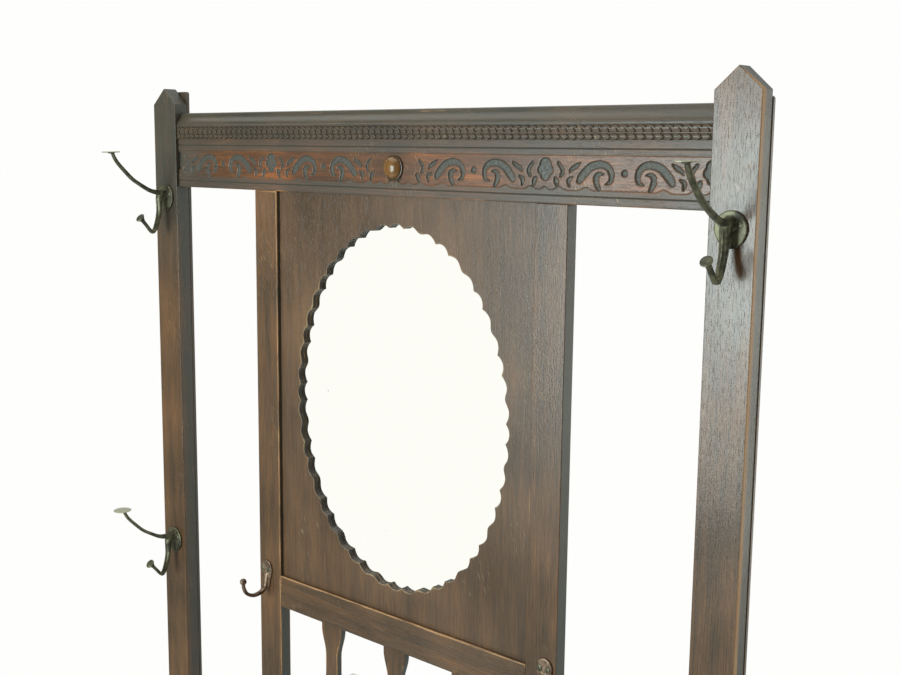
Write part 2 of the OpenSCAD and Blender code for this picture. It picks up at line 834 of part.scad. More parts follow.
module drip_tray(side) {
    corner = 10;
    wall_x = 5;
    bx0 = tray_x0 + wall_x;
    bx1 = tray_x1 - wall_x;
    by0 = tray_y0 + tray_flange;
    by1 = tray_y1 - tray_flange;
    color(japan) on_side(side) difference() {
        union() {
            translate([0, 0, tray_top - tray_wall]) linear_extrude(tray_wall)
                rounded(tray_x0, tray_x1, tray_y0, tray_y1, corner);
            translate([0, 0, tray_top - tray_depth]) linear_extrude(tray_depth - eps)
                rounded(bx0, bx1, by0, by1, corner);
        }
        translate([0, 0, tray_top - tray_depth + tray_wall]) linear_extrude(tray_depth)
            rounded(bx0 + tray_wall, bx1 - tray_wall, by0 + tray_wall, by1 - tray_wall,
                    corner - tray_wall);
    }
}

// ---------------------------------------------------------------- glove box

module box_front() {
    color(oak)
        x_rail(-inner_leg_in_x, inner_leg_in_x, front_rail_y, front_rail_y + rail_t,
               box_low, box_top);
}

module box_side(side) {
    color(oak) on_side(side)
        block([stile_mid_x - box_t / 2, leg_back_y, box_low],
              [stile_mid_x + box_t / 2, stile_y, box_top]);
}

module box_back() {
    color(oak_panel)
        block([-stile_mid_x + box_t / 2, stile_y - box_t, box_low],
              [stile_mid_x - box_t / 2, stile_y, box_top]);
}

module box_bottom() {
    bottom_t = 8;
    rise = 6;
    edge_x = stile_mid_x - box_t / 2;
    z0 = box_low + rise;
    color(oak_panel) union() {
        block([-inner_leg_in_x, front_rail_y + rail_t, z0],
              [inner_leg_in_x, leg_back_y + eps, z0 + bottom_t]);
        block([-edge_x, leg_back_y, z0], [edge_x, stile_y - box_t, z0 + bottom_t]);
    }
}

// Room for the knuckles in the edges of the lid and the strip
module knuckle_recess() {
    for (side = [-1, 1]) on_side(side)
        translate([hinge_x - knuckle_clear, hinge_y, hinge_z]) rotate([0, 90, 0])
            cylinder(h = hinge_l + 2 * knuckle_clear, r = knuckle_r + knuckle_clear);
}

module lid_back_strip() {
    color(oak) difference() {
        block([-lid_half, hinge_y + leaf_gap / 2, box_top], [lid_half, stile_y, lid_top]);
        knuckle_recess();
        leaf_screws(1, fit);
    }
}

module box_lid() {
    nose_r = lid_t / 2;
    front = leg_y - lid_over;
    color(oak) difference() {
        along_x(-lid_half, lid_half)
            polygon(concat([[hinge_y - leaf_gap / 2, lid_low], [hinge_y - leaf_gap / 2, lid_top]],
                arc(front + nose_r, lid_low + nose_r, nose_r, 90, 270, 16)));
        knuckle_recess();
        leaf_screws(-1, fit);
    }
}

// Leaf on the strip (way = 1) or on the lid (way = -1), with its share of the knuckles
module hinge_leaves(way) {
    third = hinge_l / 3;
    slack = 0.2;
    spans = way > 0 ? [[0, third - slack], [2 * third + slack, hinge_l]]
                    : [[third + slack, 2 * third - slack]];
    y_in = way > 0 ? hinge_y + leaf_gap / 2 - leaf_t : hinge_y - leaf_gap / 2;
    color(brass) for (side = [-1, 1]) on_side(side) difference() {
        union() {
            block([hinge_x, y_in, lid_top - 2.2 - leaf_h],
                  [hinge_x + hinge_l, y_in + leaf_t, lid_top - 2.2]);
            for (s = spans) {
                translate([hinge_x + s[0], hinge_y, hinge_z]) rotate([0, 90, 0])
                    cylinder(h = s[1] - s[0], r = knuckle_r);
                block([hinge_x + s[0], y_in, lid_top - 2.3],
                      [hinge_x + s[1], y_in + leaf_t, hinge_z - 1]);
            }
        }
        translate([hinge_x - 1, hinge_y, hinge_z]) rotate([0, 90, 0])
            cylinder(h = hinge_l + 2, d = hinge_pin_d + 2 * pin_fit);
        leaf_screws(way, fit);
    }
}

module hinge_pins() {
    color(brass) for (side = [-1, 1]) on_side(side)
        translate([hinge_x, hinge_y, hinge_z]) rotate([0, 90, 0])
            cylinder(h = hinge_l, d = hinge_pin_d);
}

// Screws through the leaves, into the strip (way = 1) or into the lid (way = -1)
module leaf_screws(way, grow = 0) {
    screw_h = head_h / 2;
    for (side = [-1, 1], share = [0.2, 0.8]) on_side(side)
        translate([hinge_x + share * hinge_l, hinge_y + way * (leaf_gap / 2 - leaf_t),
                   lid_top - 2.2 - leaf_h / 2])
            rotate([0, 0, way > 0 ? 0 : 180]) rotate([-90, 0, 0]) rotate_extrude()
                polygon([[0, 0], [2.4 + grow, 0], [1.2 + grow, screw_h + grow],
                         [1.2 + grow, leaf_screw_l + grow], [0, leaf_screw_l + grow]]);
}

module lid_screws() {
    color(brass) leaf_screws(-1);
}

// ---------------------------------------------------------------- assembly

post(-1);  // left_post
post(1);  // right_post
backing_strip(-1, left_strip_drop);  // left_backing_strip
backing_strip(1, right_strip_drop);  // right_backing_strip
frieze_board();
cornice_moulding();
rope_moulding();
frieze_boss();
stile(-1);  // left_stile
stile(1);  // right_stile
mirror_panel();
mirror_glass();
glass_fillets();
mirror_backboard();
panel_rail();
splat(-1);  // splat_left
splat(0);  // splat_centre
splat(1);  // splat_right
splat_rail();
double_hook(-post_mid_x, rail_top - upper_hook_drop);  // left_upper_hook
double_hook(post_mid_x, rail_top - upper_hook_drop);  // right_upper_hook
double_hook(-post_mid_x, rail_top - lower_hook_drop);  // left_lower_hook
double_hook(post_mid_x, rail_top - lower_hook_drop);  // right_lower_hook
stile_hook(-1);  // left_stile_hook
stile_hook(1);  // right_stile_hook
hook_screws();
frame_screws();
back_rail(-1);  // left_back_rail
back_rail(1);  // right_back_rail
base_back_rail();
outer_leg(-1);  // left_outer_leg
outer_leg(1);  // right_outer_leg
inner_leg(-1);  // left_inner_leg
inner_leg(1);  // right_inner_leg
bay_front_rail(-1, bay_low, bay_top);  // left_bay_front_rail
bay_front_rail(1, bay_low, bay_top);  // right_bay_front_rail
side_rail(-1, bay_low, bay_top);  // left_bay_side_rail
side_rail(1, bay_low, bay_top);  // right_bay_side_rail
bay_front_rail(-1, base_low, base_top);  // base_front_rail_left
base_front_rail_centre();
bay_front_rail(1, base_low, base_top);  // base_front_rail_right
side_rail(-1, base_low, base_top);  // left_base_side_rail
side_rail(1, base_low, base_top);  // right_base_side_rail
divider_rail(-1);  // left_divider_rail
divider_rail(1);  // right_divider_rail
base_shelf();
tray_bearers();
drip_tray(-1);  // left_drip_tray
drip_tray(1);  // right_drip_tray
box_front();
box_side(-1);  // box_left_side
box_side(1);  // box_right_side
box_back();
box_bottom();
lid_back_strip();
box_lid();
hinge_leaves(1);  // hinge_leaves_fixed
hinge_leaves(-1);  // hinge_leaves_lid
hinge_pins();
lid_screws();
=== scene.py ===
"""Looks of a dark oak hall tree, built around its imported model.

Every place and size comes from the model's own nodes. Sizes given here are in millimetres
and become metres through MM. The front of the stand faces -Y, and +Z is up.
"""

import json
import logging
import math
import zlib
from collections.abc import Callable, Sequence
from dataclasses import dataclass, field
from enum import Enum

import bpy
import numpy as np
from mathutils import Matrix, Vector

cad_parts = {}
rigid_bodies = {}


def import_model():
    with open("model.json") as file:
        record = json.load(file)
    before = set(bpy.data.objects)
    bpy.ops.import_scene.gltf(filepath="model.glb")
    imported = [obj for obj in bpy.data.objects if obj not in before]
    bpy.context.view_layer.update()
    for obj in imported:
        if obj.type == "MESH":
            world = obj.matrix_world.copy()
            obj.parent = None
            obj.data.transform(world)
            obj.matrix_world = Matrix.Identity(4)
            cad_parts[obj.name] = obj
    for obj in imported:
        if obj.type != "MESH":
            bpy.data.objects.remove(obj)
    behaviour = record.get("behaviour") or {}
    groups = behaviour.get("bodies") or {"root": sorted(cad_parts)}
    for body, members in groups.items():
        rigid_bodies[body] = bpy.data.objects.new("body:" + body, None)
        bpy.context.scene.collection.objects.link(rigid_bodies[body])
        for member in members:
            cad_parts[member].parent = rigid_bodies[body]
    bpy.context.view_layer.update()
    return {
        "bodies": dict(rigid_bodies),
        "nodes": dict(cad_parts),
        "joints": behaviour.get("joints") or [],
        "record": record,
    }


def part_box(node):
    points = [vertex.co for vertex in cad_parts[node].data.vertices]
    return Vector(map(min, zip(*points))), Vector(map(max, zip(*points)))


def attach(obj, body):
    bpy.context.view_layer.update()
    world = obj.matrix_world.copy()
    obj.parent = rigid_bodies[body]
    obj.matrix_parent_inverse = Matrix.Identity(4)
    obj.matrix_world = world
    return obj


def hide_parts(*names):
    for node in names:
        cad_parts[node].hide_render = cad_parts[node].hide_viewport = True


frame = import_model()

LOG = logging.getLogger("hall_tree")
MM = 0.001
EASE = 0.9 * MM
BAND = 5.5 * MM
ACROSS_45 = 1 - math.cos(math.pi / 4)


# ------------------------------------------------------------------ colours and nodes

def linear(colour: str) -> tuple[float, float, float, float]:
    """Turns an sRGB hex colour into linear values.

    Args:
        colour: Six hex digits, such as "7a5b3c".

    Returns:
        Red, green, blue and an alpha of 1, in linear light.
    """
    parts = [int(colour[i:i + 2], 16) / 255 for i in (0, 2, 4)]
    rgb = [c / 12.92 if c <= 0.04045 else ((c + 0.055) / 1.055) ** 2.4 for c in parts]
    return (*rgb, 1.0)


def add(tree: bpy.types.NodeTree, kind: str, links: dict | None = None,
        out: int | str = 0, stops: Sequence[tuple[float, str]] = (),
        **settings: object) -> bpy.types.NodeSocket | None:
    """Adds a node with its settings, its values and its links.

    Args:
        tree: Tree that the node goes into.
        kind: Type name of the node.
        links: For each input, by name or number, a value or the socket that feeds it.
        out: Output to return, by name or number.
        stops: Places and hex colours of a colour ramp.
        **settings: Properties of the node.

    Returns:
        The chosen output socket, or None if the node has none.
    """
    node = tree.nodes.new(kind)
    for name, value in settings.items():
        setattr(node, name, value)
    for key, value in (links or {}).items():
        if isinstance(value, bpy.types.NodeSocket):
            tree.links.new(value, node.inputs[key])
        else:
            node.inputs[key].default_value = value
    if stops:
        ramp = node.color_ramp.elements
        while len(ramp) < len(stops):
            ramp.new(0.5)
        for element, (place, colour) in zip(ramp, stops):
            element.position = place
            element.color = linear(colour)
    return node.outputs[out] if len(node.outputs) else None


def new_material(name: str) -> tuple[bpy.types.Material, bpy.types.NodeTree]:
    """Makes an empty node material.

    Args:
        name: Name of the finish.

    Returns:
        The material and its tree.
    """
    material = bpy.data.materials.new(name)
    material.use_nodes = True
    material.node_tree.nodes.clear()
    return material, material.node_tree


class Figure(Enum):
    """How a board was sawn from the log: place of the pith (across, through) and its lean."""

    PLAIN = (4.0, 34.0, 0.016)
    RIFT = (62.0, 62.0, 0.006)
    QUARTER = (110.0, 12.0, 0.004)


@dataclass(frozen=True)
class Timber:
    """Stained timber under an old shellac polish.

    The stain gathers in the open pores of the early wood and leaves them nearly black,
    the late wood stays warmer, and handling has taken colour and polish off the arrises.

    Attributes:
        name: Name of the finish.
        dark: Stain in the early wood.
        mid: Body colour.
        light: Late wood and thin stain.
        worn: Bare timber on rubbed arrises.
        dirt_and_shade_colour: Dirt in carving, and painted shade on sides and in recesses.
        ring: Width of a year's growth, mm.
        pore: Width of a pore streak, mm, drawn about twice as coarse as it is so that it shows.
        polish: Roughness of the polish.
        wear: Share of the arrises that has been rubbed, 0 to 1.
        relief: Depth of the pores, mm.
        scuffs: Strength of its scratches, 0 to 1.
        shares: How much fine streaks, broad streaks and clouds tell in the colour.
    """

    name: str
    dark: str
    mid: str
    light: str
    worn: str
    dirt_and_shade_colour: str = "2b2a29"
    ring: float = 2.4
    pore: float = 0.55
    polish: float = 0.3
    wear: float = 0.5
    relief: float = 0.12
    scuffs: float = 0.6
    shares: tuple[float, float, float] = (0.5, 0.36, 0.46)

    def streaks(self, tree: bpy.types.NodeTree, grain: bpy.types.NodeSocket,
                width: float, length: float, detail: float = 2.0) -> bpy.types.NodeSocket:
        """Noise drawn out along the grain.

        Args:
            tree: Tree of the material.
            grain: Coordinates in the board's own grain, across, through and along.
            width: Width of a streak, mm.
            length: Length of a streak, mm.
            detail: Octaves of finer streaks.

        Returns:
            Value from 0 to 1.
        """
        size = (1 / (width * MM), 1 / (width * MM), 1 / (length * MM))
        at = add(tree, "ShaderNodeVectorMath", {0: grain, 1: size}, operation="MULTIPLY")
        return add(tree, "ShaderNodeTexNoise", {"Vector": at, "Scale": 1.0, "Detail": detail,
                                                "Roughness": 0.6})

    def rings(self, tree: bpy.types.NodeTree,
              grain: bpy.types.NodeSocket) -> bpy.types.NodeSocket:
        """Year rings round the pith, which lies where across and through are 0.

        Args:
            tree: Tree of the material.
            grain: Coordinates in the board's own grain.

        Returns:
            Value from 0 to 1, high in the early wood.
        """
        flat = add(tree, "ShaderNodeVectorMath", {0: grain, 1: (1, 1, 0)}, operation="MULTIPLY")
        radius = add(tree, "ShaderNodeVectorMath", {0: flat}, out="Value", operation="LENGTH")
        wander = self.streaks(tree, grain, 22, 300, 3)
        bent = add(tree, "ShaderNodeMath", {0: wander, 1: 14 * MM, 2: radius},
                   operation="MULTIPLY_ADD")
        turns = add(tree, "ShaderNodeMath", {0: bent, 1: self.ring * MM}, operation="DIVIDE")
        year = add(tree, "ShaderNodeMath", {0: turns}, operation="FRACT")
        return add(tree, "ShaderNodeMapRange", {0: year, 1: 0.0, 2: 0.75, 3: 1.0, 4: 0.0},
                   interpolation_type="SMOOTHSTEP")

    def nicks(self, tree: bpy.types.NodeTree,
              place: bpy.types.NodeSocket) -> bpy.types.NodeSocket:
        """Short slanting scratches, gathered in a few places.

        Args:
            tree: Tree of the material.
            place: Coordinates in the stand.

        Returns:
            Value from 0 to 1, high in a scratch.
        """
        slant = add(tree, "ShaderNodeVectorRotate", {"Vector": place, "Angle": 0.45},
                    rotation_type="Y_AXIS")
        scratch = add(tree, "ShaderNodeMapRange", {
            0: self.streaks(tree, slant, 0.7, 15, 0), 1: 0.72, 2: 0.78})
        gather = add(tree, "ShaderNodeTexNoise", {"Vector": place, "Scale": 9.0, "Detail": 3.0})
        where = add(tree, "ShaderNodeMapRange", {0: gather, 1: 0.55, 2: 0.66, 4: self.scuffs})
        return add(tree, "ShaderNodeMath", {0: scratch, 1: where}, operation="MULTIPLY")

    def material(self) -> bpy.types.Material:
        """Builds the node material."""
        material, tree = new_material(self.name)
        grain = add(tree, "ShaderNodeAttribute", out="Vector", attribute_name="grain")
        place = add(tree, "ShaderNodeTexCoord", out="Object")
        rings = self.rings(tree, grain)
        fine = self.streaks(tree, grain, 1.0, 30, 3)
        broad = self.streaks(tree, grain, 11, 150, 2)
        patch = add(tree, "ShaderNodeTexNoise", {"Vector": place, "Scale": 7.5, "Detail": 2.0})
        pores = self.streaks(tree, grain, self.pore, 9, 1)
        open_pore = add(tree, "ShaderNodeMapRange", {0: pores, 1: 0.56, 2: 0.68},
                        interpolation_type="SMOOTHSTEP")
        in_ring = add(tree, "ShaderNodeMath", {0: rings, 1: 0.65, 2: 0.35},
                      operation="MULTIPLY_ADD")
        pore = add(tree, "ShaderNodeMath", {0: open_pore, 1: in_ring}, operation="MULTIPLY")

        tone = add(tree, "ShaderNodeMath", {0: rings, 1: -0.1, 2: 0.26},
                   operation="MULTIPLY_ADD")
        for share, value in zip(self.shares, (fine, broad, patch)):
            centred = add(tree, "ShaderNodeMath", {0: value, 1: 0.42}, operation="SUBTRACT")
            tone = add(tree, "ShaderNodeMath", {0: centred, 1: share * 1.6, 2: tone},
                       operation="MULTIPLY_ADD")
        body = add(tree, "ShaderNodeValToRGB", {0: tone}, stops=(
            (0.0, self.dark), (0.42, self.mid), (1.0, self.light)))
        deep = add(tree, "ShaderNodeMath", {0: pore, 1: 0.65}, operation="MULTIPLY")
        stained = add(tree, "ShaderNodeMix", {0: deep, 6: body, 7: linear(self.dark)},
                      out=2, data_type="RGBA")

        # The value sunk mixes in a darker colour: dirt in carving, and painted shade on side faces,
        # in recesses and on parts behind others.
        sunk = add(tree, "ShaderNodeAttribute", out="Fac", attribute_name="sunk")
        dirt_and_shade_share = add(tree, "ShaderNodeMath", {0: sunk, 1: 0.9}, operation="MULTIPLY")
        carved = add(tree, "ShaderNodeMix", {0: dirt_and_shade_share, 6: stained, 7: linear(self.dirt_and_shade_colour)},
                     out=2, data_type="RGBA")

        arris = add(tree, "ShaderNodeAttribute", out="Fac", attribute_name="arris")
        rub = self.streaks(tree, grain, 2.2, 34, 3)
        spread = add(tree, "ShaderNodeMath", {0: patch, 1: 0.9, 2: rub},
                     operation="MULTIPLY_ADD")
        reach = add(tree, "ShaderNodeMath", {0: arris, 1: 1.1, 2: spread},
                    operation="MULTIPLY_ADD")
        low = 2.3 - 0.9 * self.wear
        bare = add(tree, "ShaderNodeMapRange", {0: reach, 1: low, 2: low + 0.34, 4: 0.85},
                   interpolation_type="SMOOTHSTEP")
        worn = add(tree, "ShaderNodeMix", {0: fine, 6: linear(self.light),
                                           7: linear(self.worn)}, out=2, data_type="RGBA")
        rubbed_off = add(tree, "ShaderNodeMix", {0: bare, 6: carved, 7: worn},
                         out=2, data_type="RGBA")
        nicks = self.nicks(tree, place)
        colour = add(tree, "ShaderNodeMix", {0: nicks, 6: rubbed_off, 7: linear(self.worn)},
                     out=2, data_type="RGBA")

        dull = add(tree, "ShaderNodeMath", {0: sunk, 1: 0.14, 2: self.polish - 0.13},
                   operation="MULTIPLY_ADD")
        smear = add(tree, "ShaderNodeMath", {0: patch, 1: 0.26, 2: dull},
                    operation="MULTIPLY_ADD")
        matt = add(tree, "ShaderNodeMath", {0: bare, 1: 0.22, 2: smear},
                   operation="MULTIPLY_ADD")
        rough = add(tree, "ShaderNodeMath", {0: pore, 1: 0.08, 2: matt},
                    operation="MULTIPLY_ADD", use_clamp=True)
        peel = self.streaks(tree, grain, 1.8, 5, 1)
        skin = add(tree, "ShaderNodeMath", {0: peel, 1: 1.6, 2: fine}, operation="MULTIPLY_ADD")
        grooves = add(tree, "ShaderNodeMath", {0: pore, 1: -1.0, 2: skin},
                      operation="MULTIPLY_ADD")
        bump = add(tree, "ShaderNodeBump", {"Height": grooves, "Strength": 0.42,
                                            "Distance": self.relief * MM})
        shader = add(tree, "ShaderNodeBsdfPrincipled", {
            "Base Color": colour, "Roughness": rough, "Normal": bump, "IOR": 1.5})
        add(tree, "ShaderNodeOutputMaterial", {"Surface": shader})
        return material


@dataclass(frozen=True)
class Casting:
    """Cast metal, dulled in its hollows and rubbed bright where coats have hung.

    Attributes:
        name: Name of the finish.
        deep: Dull colour in the hollows.
        body: Colour of the skin.
        rubbed: Bare metal on the high edges.
        rough: Roughness of the skin.
        grit: Grain of the casting, mm.
        metal: Share of metal reflection.
    """

    name: str
    deep: str
    body: str
    rubbed: str
    rough: float = 0.42
    grit: float = 0.9
    metal: float = 0.9

    def material(self) -> bpy.types.Material:
        """Builds the node material."""
        material, tree = new_material(self.name)
        place = add(tree, "ShaderNodeTexCoord", out="Object")
        skin = add(tree, "ShaderNodeTexNoise", {
            "Vector": place, "Scale": 1 / (self.grit * 4 * MM), "Detail": 3.0})
        cloud = add(tree, "ShaderNodeTexNoise", {
            "Vector": place, "Scale": 1 / (self.grit * 14 * MM), "Detail": 2.0})
        rub = add(tree, "ShaderNodeAttribute", out="Fac", attribute_name="rub")
        tarnish = add(tree, "ShaderNodeMath", {0: skin, 1: 0.5, 2: cloud},
                      operation="MULTIPLY_ADD")
        base = add(tree, "ShaderNodeValToRGB", {0: tarnish}, stops=(
            (0.6, self.deep), (0.9, self.body)))
        high = add(tree, "ShaderNodeMath", {0: skin, 1: 0.6, 2: rub},
                   operation="MULTIPLY_ADD")
        bare = add(tree, "ShaderNodeMapRange", {0: high, 1: 0.7, 2: 1.25},
                   interpolation_type="SMOOTHSTEP")
        colour = add(tree, "ShaderNodeMix", {0: bare, 6: base, 7: linear(self.rubbed)},
                     out=2, data_type="RGBA")
        rough = add(tree, "ShaderNodeMath", {0: skin, 1: 0.25, 2: self.rough - 0.12},
                    operation="MULTIPLY_ADD", use_clamp=True)
        bump = add(tree, "ShaderNodeBump", {"Height": skin, "Strength": 0.35,
                                            "Distance": 0.15 * MM})
        shader = add(tree, "ShaderNodeBsdfPrincipled", {
            "Base Color": colour, "Roughness": rough, "Metallic": self.metal, "Normal": bump})
        add(tree, "ShaderNodeOutputMaterial", {"Surface": shader})
        return material


@dataclass(frozen=True)
class SilveredGlass:
    """Silvered plate glass: a clean reflection, with a little foxing in the silver."""

    name: str = "silvered_plate_glass"
    silver: str = "fefef9"
    foxing: str = "6f6a60"
    speck: float = 5.0

    def material(self) -> bpy.types.Material:
        """Builds the node material."""
        material, tree = new_material(self.name)
        place = add(tree, "ShaderNodeTexCoord", out="Object")
        spots = add(tree, "ShaderNodeTexNoise", {
            "Vector": place, "Scale": 1 / (self.speck * MM), "Detail": 1.0})
        fox = add(tree, "ShaderNodeMapRange", {0: spots, 1: 0.80, 2: 0.84})
        colour = add(tree, "ShaderNodeMix", {0: fox, 6: linear(self.silver),
                                             7: linear(self.foxing)}, out=2, data_type="RGBA")
        shader = add(tree, "ShaderNodeBsdfPrincipled", {
            "Base Color": colour, "Metallic": 1.0, "Roughness": 0.0})
        add(tree, "ShaderNodeOutputMaterial", {"Surface": shader})
        return material


@dataclass(frozen=True)
class Japanning:
    """Black asphalt varnish stoved on sheet steel: glossy, with dust and small scuffs."""

    name: str = "black_japanned_steel"
    black: str = "1b1b1d"
    dusty: str = "4a4742"

    def material(self) -> bpy.types.Material:
        """Builds the node material."""
        material, tree = new_material(self.name)
        place = add(tree, "ShaderNodeTexCoord", out="Object")
        dust = add(tree, "ShaderNodeTexNoise", {
            "Vector": place, "Scale": 1 / (35 * MM), "Detail": 5.0, "Roughness": 0.7})
        grit = add(tree, "ShaderNodeTexNoise", {
            "Vector": place, "Scale": 1 / (2.2 * MM), "Detail": 2.0})
        film = add(tree, "ShaderNodeMapRange", {0: dust, 1: 0.45, 2: 0.75})
        colour = add(tree, "ShaderNodeMix", {0: film, 6: linear(self.black),
                                             7: linear(self.dusty)}, out=2, data_type="RGBA")
        rough = add(tree, "ShaderNodeMath", {0: film, 1: 0.4, 2: 0.24},
                    operation="MULTIPLY_ADD")
        bump = add(tree, "ShaderNodeBump", {"Height": grit, "Strength": 0.2,
                                            "Distance": 0.08 * MM})
        shader = add(tree, "ShaderNodeBsdfPrincipled", {
            "Base Color": colour, "Roughness": rough, "Normal": bump})
        add(tree, "ShaderNodeOutputMaterial", {"Surface": shader})
        return material


FINISHES = {
    # dirt_and_shade_colour is painted shade on side faces, in recesses and behind parts, and dirt in
    # carving.
    "dark_oak": Timber("fumed_oak_shellac", "29241d", "59402a", "8e5d35", "c09868",
                       dirt_and_shade_colour="2e3834"),
    "panel_oak": Timber("panel_oak_shellac", "2f251b", "573e28", "825a35", "a39370",
                        dirt_and_shade_colour="1e201d", ring=1.9, pore=0.5, polish=0.34, wear=0.45,
                        scuffs=0.9),
    "carved_oak": Timber("carved_oak_shellac", "2e2218", "613b1f", "b8661f", "a98f66",
                         dirt_and_shade_colour="3b3e38", polish=0.34, wear=0.45),
    "boss_wood": Timber("turned_boss_shellac", "3a2512", "80582a", "b1813f", "c99352",
                        ring=1.6, pore=0.4, polish=0.22, wear=0.1, relief=0.02, scuffs=0.0),
    "backboard_pine": Timber("stained_pine_board", "54422f", "7d6648", "96805f", "a5906c",
                             dirt_and_shade_colour="54422f", ring=4.5, pore=0.4, polish=0.62, wear=0.2,
                             relief=0.05, scuffs=0.3),
    "mirror_silver": SilveredGlass(),
    "bronze_hooks": Casting("bronzed_cast_brass", "3a392f", "68654f", "a9a48e", rough=0.46,
                            metal=0.65),
    "copper_hooks": Casting("coppered_cast_brass", "57483c", "8b7462", "ad9580", rough=0.42),
    "brass": Casting("aged_brass", "45443a", "74725f", "96917a", rough=0.46, grit=0.6),
    "steel_screws": Casting("dull_steel", "4c4c49", "85857f", "a9a9a2", rough=0.4, grit=0.4),
    "japanned_steel": Japanning(),
}


# ------------------------------------------------------------------ shapes in mesh code

class Axis(Enum):
    """Direction that a piece is drawn out along, with the two axes of its outline."""

    X = (1, 2, 0)
    Y = (0, 2, 1)
    Z = (0, 1, 2)


@dataclass
class Shape:
    """Vertices, faces and the values that the finishes read from them."""

    points: np.ndarray
    faces: list[tuple[int, ...]]
    normals: np.ndarray | None = None
    values: dict[str, np.ndarray] = field(default_factory=dict)

    def moved(self, offset: Sequence[float]) -> "Shape":
        """The shape, moved by an offset in metres."""
        return Shape(self.points + np.array(offset), list(self.faces), self.normals,
                     dict(self.values))

    def turned(self, matrix: Matrix) -> "Shape":
        """The shape, turned about the origin."""
        turn = np.array(matrix.to_3x3())
        normals = None if self.normals is None else self.normals @ turn.T
        return Shape(self.points @ turn.T, list(self.faces), normals, dict(self.values))

    def mirrored(self) -> "Shape":
        """The shape on the other side of the stand."""
        flip = np.array([-1.0, 1.0, 1.0])
        normals = None if self.normals is None else self.normals * flip
        faces = [tuple(reversed(f)) for f in self.faces]
        return Shape(self.points * flip, faces, normals, dict(self.values))

    def welded(self) -> "Shape":
        """The shape with points in one place joined, and faces that have no area left out."""
        keys = np.round(self.points * 1e7).astype(np.int64)
        _, first, where = np.unique(keys, axis=0, return_index=True, return_inverse=True)
        where = where.reshape(-1)
        faces = []
        for face in self.faces:
            ring = [int(where[i]) for i in face]
            ring = [v for i, v in enumerate(ring) if v != ring[i - 1]]
            if len(set(ring)) > 2:
                faces.append(tuple(ring))
        normals = None if self.normals is None else self.normals[first]
        values = {k: v[first] for k, v in self.values.items()}
        return Shape(self.points[first], faces, normals, values)

    def outward(self) -> "Shape":
        """The shape with its faces pointing out, found from the sign of its volume."""
        volume = 0.0
        for face in self.faces:
            a = self.points[face[0]]
            for i in range(1, len(face) - 1):
                volume += float(a @ np.cross(self.points[face[i]], self.points[face[i + 1]]))
        if volume < 0:
            self.faces = [tuple(reversed(f)) for f in self.faces]
        return self


def joined(shapes: Sequence[Shape]) -> Shape:
    """Puts several shapes into one.

    Args:
        shapes: Shapes that all have normals, or none of which has.

    Returns:
        One shape with all their values, 0 where a shape has none.
    """
    points, faces, start = [], [], 0
    names = sorted({name for s in shapes for name in s.values})
    values: dict[str, list[np.ndarray]] = {name: [] for name in names}
    for s in shapes:
        points.append(s.points)
        faces += [tuple(i + start for i in f) for f in s.faces]
        for name in names:
            shape = (len(s.points), 3) if name == "grain" else (len(s.points),)
            values[name].append(s.values.get(name, np.zeros(shape)))
        start += len(s.points)
    normals = None
    if all(s.normals is not None for s in shapes):
        normals = np.vstack([s.normals for s in shapes])
    return Shape(np.vstack(points), faces, normals,
                 {name: np.concatenate(v) for name, v in values.items()})


@dataclass
class Outline:
    """A closed outline, anticlockwise, that can be drawn in from its edge.

    Attributes:
        points: Its points, one row each.
        normals: Outward unit normals at the points.
        corners: The sharp corner that each point belongs to.
        mitres: Way each corner moves out for each metre that the outline grows.
        radii: Corner radius at each point, 0 where there is none.
    """

    points: np.ndarray
    normals: np.ndarray
    corners: np.ndarray
    mitres: np.ndarray
    radii: np.ndarray

    def drawn_in(self, depth: float) -> np.ndarray:
        """Points of the outline moved inwards by a depth in metres."""
        near = (self.radii >= depth)[:, None]
        return np.where(near, self.points - self.normals * depth,
                        self.corners - self.mitres * depth)


def outline(corners: Sequence[Sequence[float]], radius: float = 0.0, steps: int = 2,
            bend: float = 20.0) -> Outline:
    """Makes an outline from its corners.

    Args:
        corners: Corners or points of a curve, in order.
        radius: Radius on each outward corner sharper than bend, in metres.
        steps: Flats in a rounded corner.
        bend: Smallest turn that counts as a corner, in degrees.

    Returns:
        The outline, anticlockwise.
    """
    c = np.array(corners, float)
    following = np.roll(c, -1, axis=0)
    if np.sum(c[:, 0] * following[:, 1] - following[:, 0] * c[:, 1]) < 0:
        c = c[::-1]
    edge = np.roll(c, -1, axis=0) - c
    edge /= np.linalg.norm(edge, axis=1)[:, None]
    side = np.stack([edge[:, 1], -edge[:, 0]], axis=1)
    rows = []
    for i, corner in enumerate(c):
        n0, n1 = side[i - 1], side[i]
        mitre = (n0 + n1) / (1 + n0 @ n1)
        turn = math.degrees(math.atan2(n0[0] * n1[1] - n0[1] * n1[0], n0 @ n1))
        if turn > bend and radius > 0:
            centre = corner - mitre * radius
            for k in range(steps + 1):
                a = math.radians(turn) * k / steps
                n = np.array([n0[0] * math.cos(a) - n0[1] * math.sin(a),
                              n0[0] * math.sin(a) + n0[1] * math.cos(a)])
                rows.append((centre + n * radius, n, corner, mitre, radius))
        else:
            n = mitre / np.linalg.norm(mitre)
            rows.append((corner, n, corner, mitre, 0.0))
    return Outline(*(np.array(column) for column in zip(*rows)))


